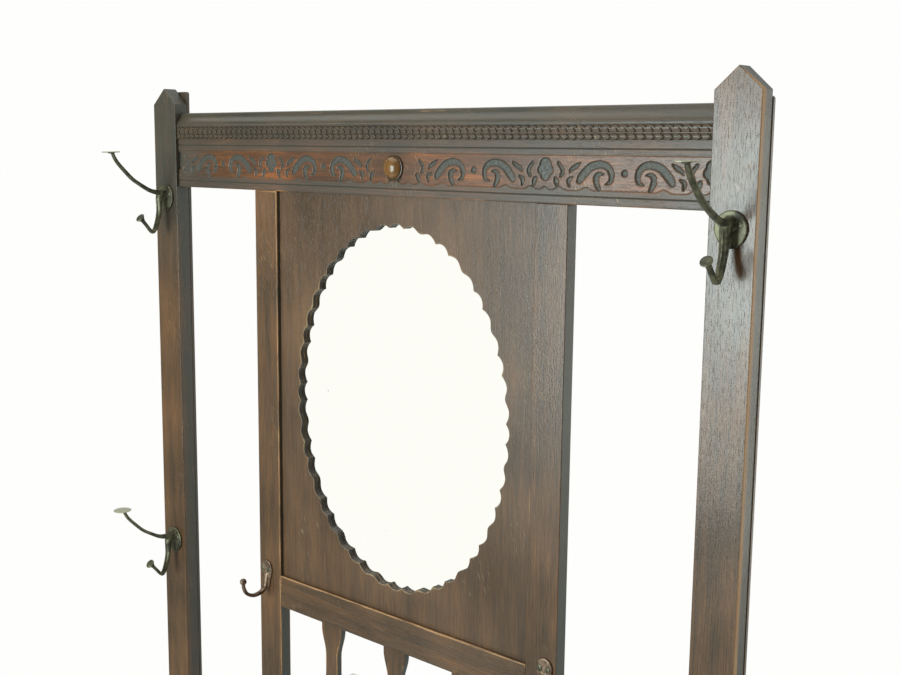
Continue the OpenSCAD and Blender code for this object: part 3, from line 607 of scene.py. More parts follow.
def slab(shape: Outline, axis: Axis, low: float, high: float, ease: float = EASE,
         band: float = BAND, hole: Outline | None = None,
         rim: np.ndarray | None = None) -> Shape:
    """Draws an outline out into a board with eased arrises.

    Each arris is a small round, and a line of points a little way in from it carries the
    value "arris" down to 0, so that a finish can wear the edge.

    Args:
        shape: Outline of the board.
        axis: Direction that the outline is drawn out along.
        low: Start along that direction, in metres.
        high: End along that direction.
        ease: Radius of the arrises.
        band: How far wear can reach in from an arris.
        hole: Outline of an opening with as many points as the board's own.
        rim: Points round the opening where its wear ends, one for each of its own.

    Returns:
        A closed shape with normals.
    """
    extent = shape.points.max(0) - shape.points.min(0)
    ease = min(ease, 0.3 * (high - low), 0.2 * float(extent.min()))
    inner = min(band, 0.45 * float(extent.min())) if hole is None else band
    middle = min(band, 0.5 * (high - low))
    rings = [(inner, 0.0, 90.0), (ease, 0.0, 90.0), (ACROSS_45 * ease, ACROSS_45 * ease, 45.0),
             (0.0, ease, 0.0), (0.0, middle, 0.0)]
    u, v, w = axis.value
    loops = [shape] if hole is None else [shape, hole]
    points, normals, arris, faces = [], [], [], []
    caps: list[list[list[int]]] = []
    for loop, sign in zip(loops, (1.0, -1.0)):
        n = len(loop.points)
        starts = []
        for end, way in ((low, 1.0), (high, -1.0)):
            order = rings if way > 0 else list(reversed(rings))
            for inset, along, tilt in order:
                flat = loop.drawn_in(inset * sign)
                if sign < 0 and rim is not None and inset == inner:
                    flat = rim
                p = np.zeros((n, 3))
                p[:, u], p[:, v], p[:, w] = flat[:, 0], flat[:, 1], end + way * along
                t = math.radians(tilt)
                q = np.zeros((n, 3))
                q[:, u] = loop.normals[:, 0] * math.cos(t) * sign
                q[:, v] = loop.normals[:, 1] * math.cos(t) * sign
                q[:, w] = -way * math.sin(t)
                starts.append(sum(len(x) for x in points))
                points.append(p)
                normals.append(q)
                away = max(inset, along)
                arris.append(np.full(n, 1.0 if away <= ease else max(0.0, 1 - away / band)))
        for a, b in zip(starts, starts[1:]):
            for i in range(n):
                j = (i + 1) % n
                quad = (a + i, a + j, b + j, b + i)
                faces.append(quad if sign > 0 else tuple(reversed(quad)))
        caps.append([list(range(starts[0], starts[0] + n)),
                     list(range(starts[-1], starts[-1] + n))])
    if hole is None:
        faces.append(tuple(reversed(caps[0][0])))
        faces.append(tuple(caps[0][1]))
    else:
        n = len(shape.points)
        for side in (0, 1):
            for i in range(n):
                j = (i + 1) % n
                quad = (caps[0][side][i], caps[1][side][i], caps[1][side][j], caps[0][side][j])
                faces.append(quad if side == 0 else tuple(reversed(quad)))
    made = Shape(np.vstack(points), faces, np.vstack(normals),
                 {"arris": np.concatenate(arris)})
    return made.welded().outward()


def box_outline(low: Sequence[float], high: Sequence[float], axis: Axis,
                radius: float = EASE) -> Outline:
    """Rectangle between two corners of a box, seen along an axis."""
    u, v, _ = axis.value
    return outline([(low[u], low[v]), (high[u], low[v]), (high[u], high[v]), (low[u], high[v])],
                   radius)


def block(low: Sequence[float], high: Sequence[float], ease: float = EASE) -> Shape:
    """Board between two corners, with eased arrises."""
    return slab(box_outline(low, high, Axis.Y, ease), Axis.Y, low[1], high[1], ease)


def tube_faces(rings: int, sides: int) -> list[tuple[int, ...]]:
    """Makes the faces of a tube with closed ends.

    Args:
        rings: Rings of points, one after another along the tube.
        sides: Points in a ring.

    Returns:
        The faces, as numbers of points.
    """
    faces = []
    for k in range(rings - 1):
        for i in range(sides):
            j = (i + 1) % sides
            faces.append((k * sides + i, k * sides + j, (k + 1) * sides + j,
                          (k + 1) * sides + i))
    faces.append(tuple(range(sides - 1, -1, -1)))
    faces.append(tuple((rings - 1) * sides + i for i in range(sides)))
    return faces


def lathe(profile: Sequence[tuple[float, float]], sides: int = 48) -> Shape:
    """Turns a profile about the +Z axis.

    Args:
        profile: Radius and height of its points, from the lower pole to the upper pole.
        sides: Flats round the piece.

    Returns:
        A closed shape without normals of its own.
    """
    angles = np.arange(sides) * 2 * math.pi / sides
    points = [np.array([[r * math.cos(a), r * math.sin(a), z] for a in angles])
              for r, z in profile]
    return Shape(np.vstack(points), tube_faces(len(profile), sides)).welded().outward()


def curve_through(points: Sequence[Sequence[float]], per_span: int = 6) -> np.ndarray:
    """Smooth curve through points, by Catmull and Rom's rule.

    Args:
        points: Points of the curve, with any number of columns.
        per_span: Steps between two points.

    Returns:
        Points along the curve, one row each.
    """
    p = np.array(points, float)
    p = np.vstack([2 * p[0] - p[1], p, 2 * p[-1] - p[-2]])
    rows = []
    for i in range(1, len(p) - 2):
        for k in range(per_span):
            t = k / per_span
            rows.append(0.5 * (2 * p[i] + (p[i + 1] - p[i - 1]) * t
                               + (2 * p[i - 1] - 5 * p[i] + 4 * p[i + 1] - p[i + 2]) * t * t
                               + (3 * p[i] - p[i - 1] - 3 * p[i + 1] + p[i + 2]) * t ** 3))
    rows.append(p[-2])
    return np.array(rows)


def arm(points: Sequence[Sequence[float]], sides: int = 20, square: float = 2.6) -> Shape:
    """Bar that follows a curve in the plane of Y and Z.

    Args:
        points: For each point its y, its z, the bar's width along X and its thickness, mm.
        sides: Points round the bar.
        square: Power of the section, 2 for round and higher for squarer.

    Returns:
        A closed shape without normals of its own.
    """
    path = curve_through(points) * MM
    way = np.gradient(path[:, :2], axis=0)
    way /= np.linalg.norm(way, axis=1)[:, None]
    angles = np.arange(sides) * 2 * math.pi / sides
    power = 2 / square
    across = np.sign(np.cos(angles)) * np.abs(np.cos(angles)) ** power / 2
    through = np.sign(np.sin(angles)) * np.abs(np.sin(angles)) ** power / 2
    rows = []
    for (y, z, width, thick), (dy, dz) in zip(path, way):
        rows.append(np.stack([across * width, y - dz * through * thick,
                              z + dy * through * thick], axis=1))
    return Shape(np.vstack(rows), tube_faces(len(path), sides)).outward()


def grained(shape: Shape, name: str, along: int, through: int,
            figure: Figure = Figure.RIFT) -> Shape:
    """Gives a shape its place in the log.

    Args:
        shape: Shape to mark.
        name: Name of the piece, which fixes where in the log it was cut.
        along: Axis of the grain, 0, 1 or 2.
        through: Axis of the thickness.
        figure: How the board was sawn.

    Returns:
        The same shape with the value "grain".
    """
    pick = np.random.default_rng(zlib.crc32(name.encode()))
    across = 3 - along - through
    aside, deep, lean = figure.value
    middle = (shape.points.max(0) + shape.points.min(0)) / 2
    a = shape.points[:, across] - middle[across]
    b = shape.points[:, through] - middle[through]
    run = shape.points[:, along] + pick.uniform(-1, 1)
    a = a * pick.choice([-1, 1]) + (aside + pick.uniform(-9, 9)) * MM + lean * (run % 2)
    b = b + (deep + pick.uniform(-4, 9)) * MM
    shape.values["grain"] = np.stack([a, b, run], axis=1)
    return shape


# ------------------------------------------------------------------ pieces and the model

class Stand:
    """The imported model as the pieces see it: where its nodes are and what they belong to."""

    def __init__(self, model: dict) -> None:
        """Reads bodies and finishes from the loaded model.

        Args:
            model: What the frame's load call gave.
        """
        record = model["record"]
        self.nodes = model["nodes"]
        self.bodies = {n: b for b, ns in record["behaviour"]["bodies"].items() for n in ns}
        self.slots = {p["node"]: p["material_slot"] for p in record["subparts"]}
        self.materials = {slot: finish.material() for slot, finish in FINISHES.items()}

    def place(self, thing: bpy.types.Object, *nodes: str) -> bpy.types.Object:
        """Lets a piece stand for CAD nodes and ride on their body.

        Args:
            thing: The finished piece.
            *nodes: Names of the nodes that it stands for.

        Returns:
            The piece.
        """
        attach(thing, self.bodies[nodes[0]])
        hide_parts(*nodes)
        LOG.info("%s stands for %s", thing.name, ", ".join(nodes))
        return thing

    def piece(self, name: str, shape: Shape, *nodes: str, sharp: float = 40.0,
              slot: str | None = None) -> bpy.types.Object:
        """Makes a shape a dressed piece of the stand.

        Args:
            name: Name of the piece.
            shape: Its shape, in place.
            *nodes: Names of the nodes that it stands for.
            sharp: Angle from which an edge is sharp, in degrees, without own normals.
            slot: Finish, if it isn't that of the first node.

        Returns:
            The piece.
        """
        slot = slot or self.slots[nodes[0]]
        thing = mesh_object(name, shape, self.materials[slot], sharp)
        self.place(thing, *nodes)
        return thing

    def keep(self, *nodes: str) -> None:
        """Shows CAD nodes as they are, each in its own finish."""
        for name in nodes:
            thing = self.nodes[name]
            thing.data.materials.clear()
            thing.data.materials.append(self.materials[self.slots[name]])
            LOG.info("%s is shown as it is", name)


def mesh_object(name: str, shape: Shape, material: bpy.types.Material,
                sharp: float = 40.0) -> bpy.types.Object:
    """Makes a mesh object from a shape.

    Args:
        name: Name of the object.
        shape: Its shape.
        material: Its finish.
        sharp: Angle from which an edge is sharp, in degrees, without own normals.

    Returns:
        The object, linked to the scene.
    """
    mesh = bpy.data.meshes.new(name)
    mesh.from_pydata(shape.points.tolist(), [], shape.faces)
    mesh.validate()
    for key, value in shape.values.items():
        kind = "FLOAT_VECTOR" if key == "grain" else "FLOAT"
        attribute = mesh.attributes.new(key, kind, "POINT")
        attribute.data.foreach_set("vector" if key == "grain" else "value",
                                   value.astype(np.float32).reshape(-1))
    mesh.shade_smooth()
    if shape.normals is None:
        mesh.set_sharp_from_angle(angle=math.radians(sharp))
    else:
        mesh.normals_split_custom_set_from_vertices(shape.normals.tolist())
    mesh.materials.append(material)
    thing = bpy.data.objects.new(name, mesh)
    bpy.context.scene.collection.objects.link(thing)
    return thing


def applied(thing: bpy.types.Object) -> bpy.types.Object:
    """Turns what an object's modifiers give into its plain mesh and removes them."""
    depsgraph = bpy.context.evaluated_depsgraph_get()
    mesh = bpy.data.meshes.new_from_object(thing.evaluated_get(depsgraph),
                                           preserve_all_data_layers=True, depsgraph=depsgraph)
    thing.modifiers.clear()
    thing.data = mesh
    return thing


def rubbed(mesh: bpy.types.Mesh, reach: int = 4) -> None:
    """Marks how far each point of a mesh stands out, as the value "rub".

    Args:
        mesh: Mesh with even, small faces.
        reach: Times that the mark is evened out.
    """
    count = len(mesh.vertices)
    co = np.empty(count * 3, np.float32)
    normal = np.empty(count * 3, np.float32)
    ends = np.empty(len(mesh.edges) * 2, np.int32)
    mesh.vertices.foreach_get("co", co)
    mesh.vertices.foreach_get("normal", normal)
    mesh.edges.foreach_get("vertices", ends)
    co, normal, ends = co.reshape(-1, 3), normal.reshape(-1, 3), ends.reshape(-1, 2)
    degree = np.bincount(ends.reshape(-1), minlength=count).astype(float)
    degree[degree == 0] = 1
    step = co[ends[:, 1]] - co[ends[:, 0]]
    size = np.linalg.norm(step, axis=1) + 1e-9
    rise0 = np.einsum("ij,ij->i", -step, normal[ends[:, 0]]) / size
    rise1 = np.einsum("ij,ij->i", step, normal[ends[:, 1]]) / size
    mark = (np.bincount(ends[:, 0], rise0, count) + np.bincount(ends[:, 1], rise1, count))
    mark /= degree
    for _ in range(reach):
        around = (np.bincount(ends[:, 0], mark[ends[:, 1]], count)
                  + np.bincount(ends[:, 1], mark[ends[:, 0]], count))
        mark = 0.5 * mark + 0.5 * around / degree
    attribute = mesh.attributes.new("rub", "FLOAT", "POINT")
    attribute.data.foreach_set("value", np.clip(mark * 5, -0.5, 1).astype(np.float32))


class Repeat:
    """Geometry Nodes tree that sets a small piece at every point of a mesh.

    Each point turns its copy by the value "turn" and sizes it by the value "size".
    """

    def __init__(self) -> None:
        """Builds the tree with its inputs Piece, Scale and Finish."""
        tree = bpy.data.node_groups.new("repeat_on_points", "GeometryNodeTree")
        face = tree.interface
        face.new_socket("Geometry", in_out="INPUT", socket_type="NodeSocketGeometry")
        self.sockets = {}
        for name, kind in (("Piece", "NodeSocketObject"), ("Scale", "NodeSocketFloat"),
                           ("Finish", "NodeSocketMaterial")):
            made = face.new_socket(name, in_out="INPUT", socket_type=kind)
            self.sockets[name] = made.identifier
        face.new_socket("Geometry", in_out="OUTPUT", socket_type="NodeSocketGeometry")
        given = tree.nodes.new("NodeGroupInput")
        turn = add(tree, "GeometryNodeInputNamedAttribute", {"Name": "turn"},
                   data_type="FLOAT_VECTOR")
        size = add(tree, "GeometryNodeInputNamedAttribute", {"Name": "size"},
                   data_type="FLOAT_VECTOR")
        scaled = add(tree, "ShaderNodeVectorMath", {0: size, "Scale": given.outputs["Scale"]},
                     operation="SCALE")
        source = add(tree, "GeometryNodeObjectInfo", {0: given.outputs["Piece"]},
                     out="Geometry")
        rotation = add(tree, "FunctionNodeEulerToRotation", {0: turn})
        copies = add(tree, "GeometryNodeInstanceOnPoints", {
            "Points": given.outputs["Geometry"], "Instance": source, "Rotation": rotation,
            "Scale": scaled})
        real = add(tree, "GeometryNodeRealizeInstances", {0: copies})
        dressed = add(tree, "GeometryNodeSetMaterial", {
            "Geometry": real, "Material": given.outputs["Finish"]})
        add(tree, "NodeGroupOutput", {0: dressed})
        self.tree = tree

    def make(self, name: str, unit: Shape, places: Sequence[Sequence[float]],
             turns: Sequence[Sequence[float]], material: bpy.types.Material,
             sizes: Sequence[Sequence[float]] | None = None,
             sharp: float = 40.0) -> bpy.types.Object:
        """Sets a unit at each place.

        Args:
            name: Name of the finished object.
            unit: Shape that is repeated.
            places: Where each copy goes, in metres.
            turns: Euler angles of each copy, in radians.
            material: Finish of the copies.
            sizes: Scale of each copy along its own axes.
            sharp: Angle from which an edge of the unit is sharp, in degrees.

        Returns:
            One plain mesh object with all the copies.
        """
        source = mesh_object(name + "_unit", unit, material, sharp)
        mesh = bpy.data.meshes.new(name)
        mesh.from_pydata([tuple(p) for p in places], [], [])
        for key, rows in (("turn", turns), ("size", sizes or [(1, 1, 1)] * len(places))):
            attribute = mesh.attributes.new(key, "FLOAT_VECTOR", "POINT")
            attribute.data.foreach_set("vector", np.array(rows, np.float32).reshape(-1))
        thing = bpy.data.objects.new(name, mesh)
        bpy.context.scene.collection.objects.link(thing)
        modifier = thing.modifiers.new("repeat", "NODES")
        modifier.node_group = self.tree
        modifier[self.sockets["Piece"]] = source
        modifier[self.sockets["Scale"]] = 1.0
        modifier[self.sockets["Finish"]] = material
        applied(thing)
        bpy.data.objects.remove(source)
        return thing


# ------------------------------------------------------------------ the stand's pieces

def board(stand: Stand, node: str, along: int, through: int, figure: Figure = Figure.RIFT,
          trim: float = 0.0, ease: float = EASE,
          wear: Callable[[Shape], np.ndarray] | None = None) -> bpy.types.Object:
    """Makes a plain board from a node's box.

    Args:
        stand: The model.
        node: Node that the board stands for.
        along: Axis of the grain.
        through: Axis of the thickness.
        figure: How the board was sawn.
        trim: Length of the hidden tenon at each end, in metres.
        ease: Radius of the arrises.
        wear: What the wear of the arrises is multiplied by, at each point.

    Returns:
        The piece.
    """
    low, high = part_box(node)
    low[along] += trim
    high[along] -= trim
    shape = grained(block(low, high, ease), node, along, through, figure)
    if wear is not None:
        shape.values["arris"] = shape.values["arris"] * wear(shape)
    return stand.piece(node + "_board", shape, node)


@dataclass
class Posts:
    """The two outer posts with the thin strips behind them. Sizes in mm, heights in m."""

    stand: Stand
    gable_rise: float = 21.6
    strip_corner: float = 3.5
    strip_back: float = 1.0
    rub_depth: float = 13.0
    edge_rub: tuple[float, float, float] = (2.2, 0.3, 0.0)
    # Between these heights the left post is painted darker towards its top, a painted shade.
    shade_start_z: float = 1.56
    dark_z: float = 1.72

    def post(self, side: str) -> None:
        """Makes a post with a gabled top."""
        node = f"{side}_post"
        low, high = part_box(node)
        eaves = high[2] - self.gable_rise * MM
        corners = [(low[0], 0), (high[0], 0), (high[0], self.shade_start_z), (high[0], self.dark_z),
                   (high[0], eaves), ((low[0] + high[0]) / 2, high[2]), (low[0], eaves),
                   (low[0], self.dark_z), (low[0], self.shade_start_z)]
        shape = slab(outline(corners, EASE), Axis.Y, low[1], high[1], band=self.rub_depth * MM)
        out = 1 if side == "right" else -1
        outer = high[0] if out > 0 else low[0]
        depth = (shape.points[:, 1] - low[1]) / (high[1] - low[1])
        beside = np.abs(shape.points[:, 0] - outer) < 1.5 * MM
        below = np.clip(shape.points[:, 2] / high[2], 0, 1)
        strength = np.interp(depth, [0.0, 0.5, 1.0], self.edge_rub) * (0.45 + 0.55 * below)
        front = shape.normals[:, 1] < -0.99
        rub = np.where(beside & ~front, strength if out > 0 else 0.7 * strength,
                       np.where(front, 0.25, 0.55))
        shape.values["arris"] = np.where(beside & ~front, rub, shape.values["arris"] * rub)
        # Painted shade: side and back faces darken towards the back of the post, and the left post
        # darkens towards its top.
        painted_shade = np.clip(depth / 0.5, 0, 0.75) * ~front
        if out < 0:
            painted_shade = np.maximum(painted_shade, np.interp(shape.points[:, 2],
                                                [self.shade_start_z, self.dark_z], [0.0, 0.7]))
        shape.values["sunk"] = painted_shade
        self.stand.piece(node + "_board", grained(shape, node, 2, 1), node)

    def strip(self, side: str) -> None:
        """Makes the strip behind a post, with rounded top corners."""
        node = f"{side}_backing_strip"
        low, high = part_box(node)
        if side == "right":
            high[0] -= self.strip_back * MM
        else:
            low[0] += self.strip_back * MM
        r = self.strip_corner * MM
        turn = [math.radians(a) for a in range(0, 91, 15)]
        corners = [(low[0], 0), (high[0], 0)]
        corners += [(high[0] - r + r * math.cos(a), high[2] - r + r * math.sin(a)) for a in turn]
        corners += [(low[0] + r - r * math.sin(a), high[2] - r + r * math.cos(a)) for a in turn]
        shape = slab(outline(corners, 0.6 * MM), Axis.Y, low[1], high[1], ease=0.6 * MM,
                     band=2.5 * MM)
        outer = np.abs(shape.points[:, 0]) > max(abs(low[0]), abs(high[0])) - 1.0 * MM
        shape.values["arris"] = np.where(outer, 0.45, shape.values["arris"] * 0.5)
        # Painted shade: the strip is darker where it lies behind the post than along its outer edge.
        shape.values["sunk"] = np.where(outer, 0.2, 0.55)
        self.stand.piece(node + "_board", grained(shape, node, 2, 1), node)

    def build(self) -> None:
        """Makes both posts and strips."""
        for side in ("left", "right"):
            self.post(side)
            self.strip(side)


Stroke = tuple[tuple[float, float, float], ...]


@dataclass(frozen=True)
class Carving:
    """Strapwork cut into the top rail: scrolls on both sides of a dot, with flowers between.

    Places are given in mm from a dot, (u, w), u being the distance along the rail and w the
    height. A stroke is a gouge cut of changing width through its points (u, w, width).
    """

    first_dot: float = 119.0
    period: float = 193.0
    dot_r: float = 3.5
    depth: float = 2.0
    field_depth: float = 0.6
    slope: float = 1.0
    top: float = 17.1
    low: float = -18.0
    boss_clear: float = 60.0
    scroll: Stroke = ((22.5, -11, 0.8), (16.5, -8.5, 4.5), (15.2, -2, 6), (18, 4.5, 6.5),
                      (25, 8.2, 7), (33, 8.3, 7.5), (41, 5.3, 8), (47, 0.2, 8.5),
                      (52, -5.5, 8), (54, -8.5, 6))
    comma: Stroke = ((24.5, -1.2, 1), (29.5, -0.8, 4), (33.2, -4, 6), (33, -9.5, 6),
                     (30.5, -14.5, 4.5), (28.5, -17.5, 2))
    leaf: Stroke = ((53, 10, 1), (58, 6.5, 4.5), (64, 3, 3.5), (66, 0, 1))
    eye: Stroke = ((62, -4.5, 1.5), (67, -8, 4.5), (66, -14, 2))
    petal: Stroke = ((80, 9.5, 3), (74.5, 1.6, 4), (76.9, -4, 3))
    drop: Stroke = ((81.0, -14, 3), (82.5, -9, 5.5), (84, -6, 3))
    club: tuple[tuple[float, float, float], ...] = ((0, 7, 7.5), (5, 2, 5), (0, -3, 6))

    def from_dot(self, x: np.ndarray) -> np.ndarray:
        """Distance from the nearest dot, for places x in mm from the middle of the rail."""
        half = self.period / 2
        return np.abs((np.abs(x) - self.first_dot + half) % self.period - half)

    def cut(self, x: np.ndarray, w: np.ndarray) -> np.ndarray:
        """Distance outside the nearest gouge cut, in mm, negative inside it."""
        u = self.from_dot(x)
        nearest = np.hypot(u, w) - self.dot_r
        for cx, cz, r in self.club:
            flower = np.hypot(self.period / 2 - u - cx, w - cz) - r
            nearest = np.where(np.abs(x) < self.boss_clear, nearest,
                               np.minimum(nearest, flower))
        for stroke in (self.scroll, self.comma, self.leaf, self.eye, self.petal, self.drop):
            run = curve_through(stroke, 4)
            for (u0, w0, a), (u1, w1, b) in zip(run, run[1:]):
                du, dw = u1 - u0, w1 - w0
                t = np.clip(((u - u0) * du + (w - w0) * dw) / (du * du + dw * dw), 0, 1)
                away = np.hypot(u - u0 - t * du, w - w0 - t * dw)
                nearest = np.minimum(nearest, away - (a + (b - a) * t) / 2)
        return nearest

    def border(self, u: np.ndarray) -> np.ndarray:
        """Height of the wavy lower border of the carved field."""
        rise = 3.5 * np.exp(-((u - 45) / 6) ** 2) + 3.5 * np.exp(-((u - 78) / 5) ** 2)
        rise += 3.0 * np.exp(-((u - self.period / 2) / 4) ** 2)
        scallops = np.where(u < 33, np.abs(np.sin(math.pi * u / 6)), 0.0)
        return self.low + rise + scallops

    def relief(self, x: np.ndarray,
               w: np.ndarray) -> tuple[np.ndarray, np.ndarray, np.ndarray]:
        """Depth of the carving and how far a place is down in it.

        Args:
            x: Places along the rail, mm from its middle.
            w: Heights over the dots, mm.

        Returns:
            Depth in mm, a value that is 1 on the ground of a cut, and one that is 1 inside
            the carved field.
        """
        u = self.from_dot(x)
        away = self.cut(x, w)
        inside = np.minimum(w - self.border(u), self.top - w)
        field_share = np.clip(inside / 0.8 + 0.5, 0, 1)
        share = np.clip(0.35 - away / self.slope, 0, 1)
        share = share * share * (3 - 2 * share)
        ground = np.clip(1.25 - away / 0.4, 0, 1) * field_share
        depth = self.field_depth + (self.depth - 0.3) * share
        return depth * field_share, ground, field_share


@dataclass
class TopRail:
    """The top rail: carved board, cornice, rope moulding and boss. Sizes in mm."""

    stand: Stand
    repeat: Repeat
    carving: Carving = Carving()
    tenon: float = 12.0
    dots_above: float = 32.4
    upper_line: float = 56.3
    lower_line: float = 8.7
    line_depth: float = 0.8
    tooling: float = 0.22
    step_x: float = 0.85
    step_z: float = 0.62
    strands: int = 81
    cords: tuple[tuple[float, float, float, float], ...] = (
        (2.2, 2.5, 18.0, 0.8), (6.0, 3.0, 58.0, 0.52), (11.0, 2.6, 26.0, 0.85),
        (13.9, 2.6, -26.0, 0.85))

    def rows(self, low: float, high: float) -> np.ndarray:
        """Heights of the rows of points on the carved face, close where it is cut."""
        fine = np.arange(low + 13.0, low + 52.0, self.step_z)
        lines = [low + at + k * 0.45 for at in (self.lower_line, self.upper_line)
                 for k in (-3, -2, -1, 0, 1, 2, 3)]
        edge = [low, low + 0.3, low + 0.9, low + 3, low + 5.5, low + 11, low + 60, high]
        return np.unique(np.round(np.concatenate([fine, lines, edge]), 4))

    def carved_board(self) -> None:
        """Makes the board with its incised lines and the carved field."""
        node = "frieze_board"
        low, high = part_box(node)
        x0, x1 = (low[0] / MM + self.tenon), (high[0] / MM - self.tenon)
        z0, front = low[2] / MM, low[1] / MM
        xs = np.linspace(x0, x1, int((x1 - x0) / self.step_x))
        zs = self.rows(z0, high[2] / MM)
        x, z = np.meshgrid(xs, zs, indexing="ij")
        depth, ground, carved = self.carving.relief(x, z - z0 - self.dots_above)
        tooled = np.random.default_rng(5).normal(0.0, 1.0, x.shape)
        tooled = 0.5 * tooled + 0.25 * (np.roll(tooled, 1, 0) + np.roll(tooled, 1, 1))
        depth += self.tooling * tooled * np.clip(2 * depth - 1.6, 0, 1)
        for line in (self.lower_line, self.upper_line):
            cut = np.clip(1 - np.abs(z - z0 - line) / 0.75, 0, 1)
            depth = np.maximum(depth, self.line_depth * cut)
            ground = np.maximum(ground, np.clip(2.5 * cut, 0, 1))
        up = z - z0
        depth += np.where(up < 0.9, 0.9 - np.sqrt(np.clip(0.81 - (0.9 - up) ** 2, 0, 1)), 0)
        nx, nz = x.shape
        y = front + depth
        points = np.stack([x, y, z], axis=2).reshape(-1, 3) * MM
        index = np.arange(nx * nz).reshape(nx, nz)
        quads = np.stack([index[:-1, :-1], index[1:, :-1], index[1:, 1:], index[:-1, 1:]],
                         axis=2).reshape(-1, 4)
        faces = [tuple(q) for q in quads.tolist()]
        back = nx * nz
        rear = np.array([[x0, 0, z0], [x1, 0, z0], [x1, 0, zs[-1]], [x0, 0, zs[-1]]]) * MM
        rear[:, 1] = high[1]
        faces.append(tuple(index[:, 0].tolist()[::-1]) + (back, back + 1))
        faces.append(tuple(index[-1, :].tolist()[::-1]) + (back + 1, back + 2))
        faces.append(tuple(index[:, -1].tolist()) + (back + 2, back + 3))
        faces.append(tuple(index[0, :].tolist()) + (back + 3, back))
        faces.append((back + 3, back + 2, back + 1, back))
        arris = np.clip(1 - up / 4.5, 0, 1)
        lip = np.clip(1 - np.abs(z - z0 - self.dots_above - self.carving.top - 0.8) / 1.4, 0, 1)
        rub = np.maximum(arris, lip * 0.8) * (1 - ground)
        # Painted shade: the rail darkens towards its left end. The cut ground, incised lines and
        # plain bands round the field get their darker colour.
        dirt_and_left_shade = np.clip(-(x + 330) / 70, 0, 0.7)
        dirt_and_left_shade = np.maximum(np.maximum(ground, dirt_and_left_shade), 0.62 * (1 - carved))
        zero = np.zeros(4)
        shape = Shape(np.vstack([points, rear]), faces, None, {
            "arris": np.concatenate([rub.reshape(-1), zero]),
            "sunk": np.concatenate([dirt_and_left_shade.reshape(-1), zero + 0.5])})
        grained(shape, node, 0, 1, Figure.PLAIN)
        self.stand.piece("top_rail_carved_board", shape, node, sharp=55)

    def cornice(self) -> None:
        """Makes the cornice: a fillet, a cove and a round on top."""
        node = "cornice_moulding"
        low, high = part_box(node)
        tall = high[2] - low[2]
        corners = [(high[1], low[2]), (low[1], low[2]), (low[1], low[2] + 2.2 * MM)]
        for k in range(11):
            t = k / 10
            wave = t - 0.13 * math.sin(2 * math.pi * t)
            corners.append((low[1] + (0.8 + 6.7 * wave) * MM,
                            low[2] + 2.2 * MM + (tall - 4.2 * MM) * t))
        corners += [(low[1] + (9.5 - 2.0 * math.cos(a)) * MM,
                     high[2] - 2.0 * MM + 2.0 * MM * math.sin(a))
                    for a in (0.5, 1.0, math.pi / 2)]
        corners.append((high[1], high[2]))
        shape = slab(outline(corners, 0.4 * MM, bend=35), Axis.X, low[0], high[0],
                     ease=0.4 * MM)
        along = shape.points[:, 2] > high[2] - 4 * MM
        shape.values["arris"] = np.where(along & (shape.points[:, 1] < low[1] + 12 * MM),
                                         0.7, shape.values["arris"] * 0.5)
        shape.values["sunk"] = np.full(len(shape.points), 0.62)
        self.stand.piece("cornice_board", grained(shape, node, 0, 1), node)

    def rope(self) -> None:
        """Makes the strip of rope moulding: four twisted cords, two by two on a ground."""
        node = "rope_moulding"
        low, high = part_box(node)
        top, face = high[2], low[1]
        ground = face + 2.4 * MM
        corners = [(high[1], low[2]), (ground - 1.2 * MM, low[2]),
                   (ground - 1.2 * MM, low[2] + 0.5 * MM), (ground, low[2] + 0.9 * MM),
                   (ground, top - 9.3 * MM), (face + 1.2 * MM, top - 9.1 * MM),
                   (face + 1.2 * MM, top - 8.3 * MM), (ground, top - 8.1 * MM),
                   (ground, top - 0.7 * MM), (ground - 1.0 * MM, top - 0.5 * MM),
                   (ground - 1.0 * MM, top), (high[1], top)]
        strip = slab(outline(corners, 0.15 * MM), Axis.X, low[0], high[0], ease=0.15 * MM)
        strip.values["sunk"] = np.full(len(strip.points), 0.5)
        strip.values["arris"] = strip.values["arris"] * 0.4
        bead = lathe([(0.0, -0.5), (0.24, -0.45), (0.42, -0.28), (0.5, 0.0), (0.42, 0.28),
                      (0.24, 0.45), (0.0, 0.5)], 10)
        pitch = (high[0] - low[0]) / self.strands
        places, turns, sizes = [], [], []
        for drop, thick, twist, run in self.cords:
            for k in range(self.strands):
                places.append((low[0] + pitch * (k + 0.5), ground - 0.1 * thick * MM,
                               top - drop * MM))
                turns.append((0.0, math.radians(90 + twist), 0.0))
                sizes.append((0.75 * thick * MM, 0.95 * thick * MM, run * pitch))
        cords = self.repeat.make("rope_moulding_cords", bead, places, turns,
                                 self.stand.materials["dark_oak"], sizes, 80)
        mark = cords.data.attributes.new("grain", "FLOAT_VECTOR", "POINT")
        co = np.empty(len(cords.data.vertices) * 3, np.float32)
        cords.data.vertices.foreach_get("co", co)
        co = co.reshape(-1, 3)
        mark.data.foreach_set("vector", co[:, [2, 1, 0]].copy().reshape(-1))
        # Proud parts of the cords are painted bare and light, partly wear and partly a painted
        # highlight; parts towards the ground are painted darker as shade.
        proud = np.clip((ground - co[:, 1]) / (ground - face), 0, 1)
        for key, value in (("arris", 0.92 * proud), ("sunk", 0.6 - 0.3 * proud)):
            cords.data.attributes.new(key, "FLOAT", "POINT").data.foreach_set(
                "value", value.astype(np.float32))
        self.stand.place(cords, node)
        self.stand.piece("rope_moulding_strip", grained(strip, node, 0, 1), node)

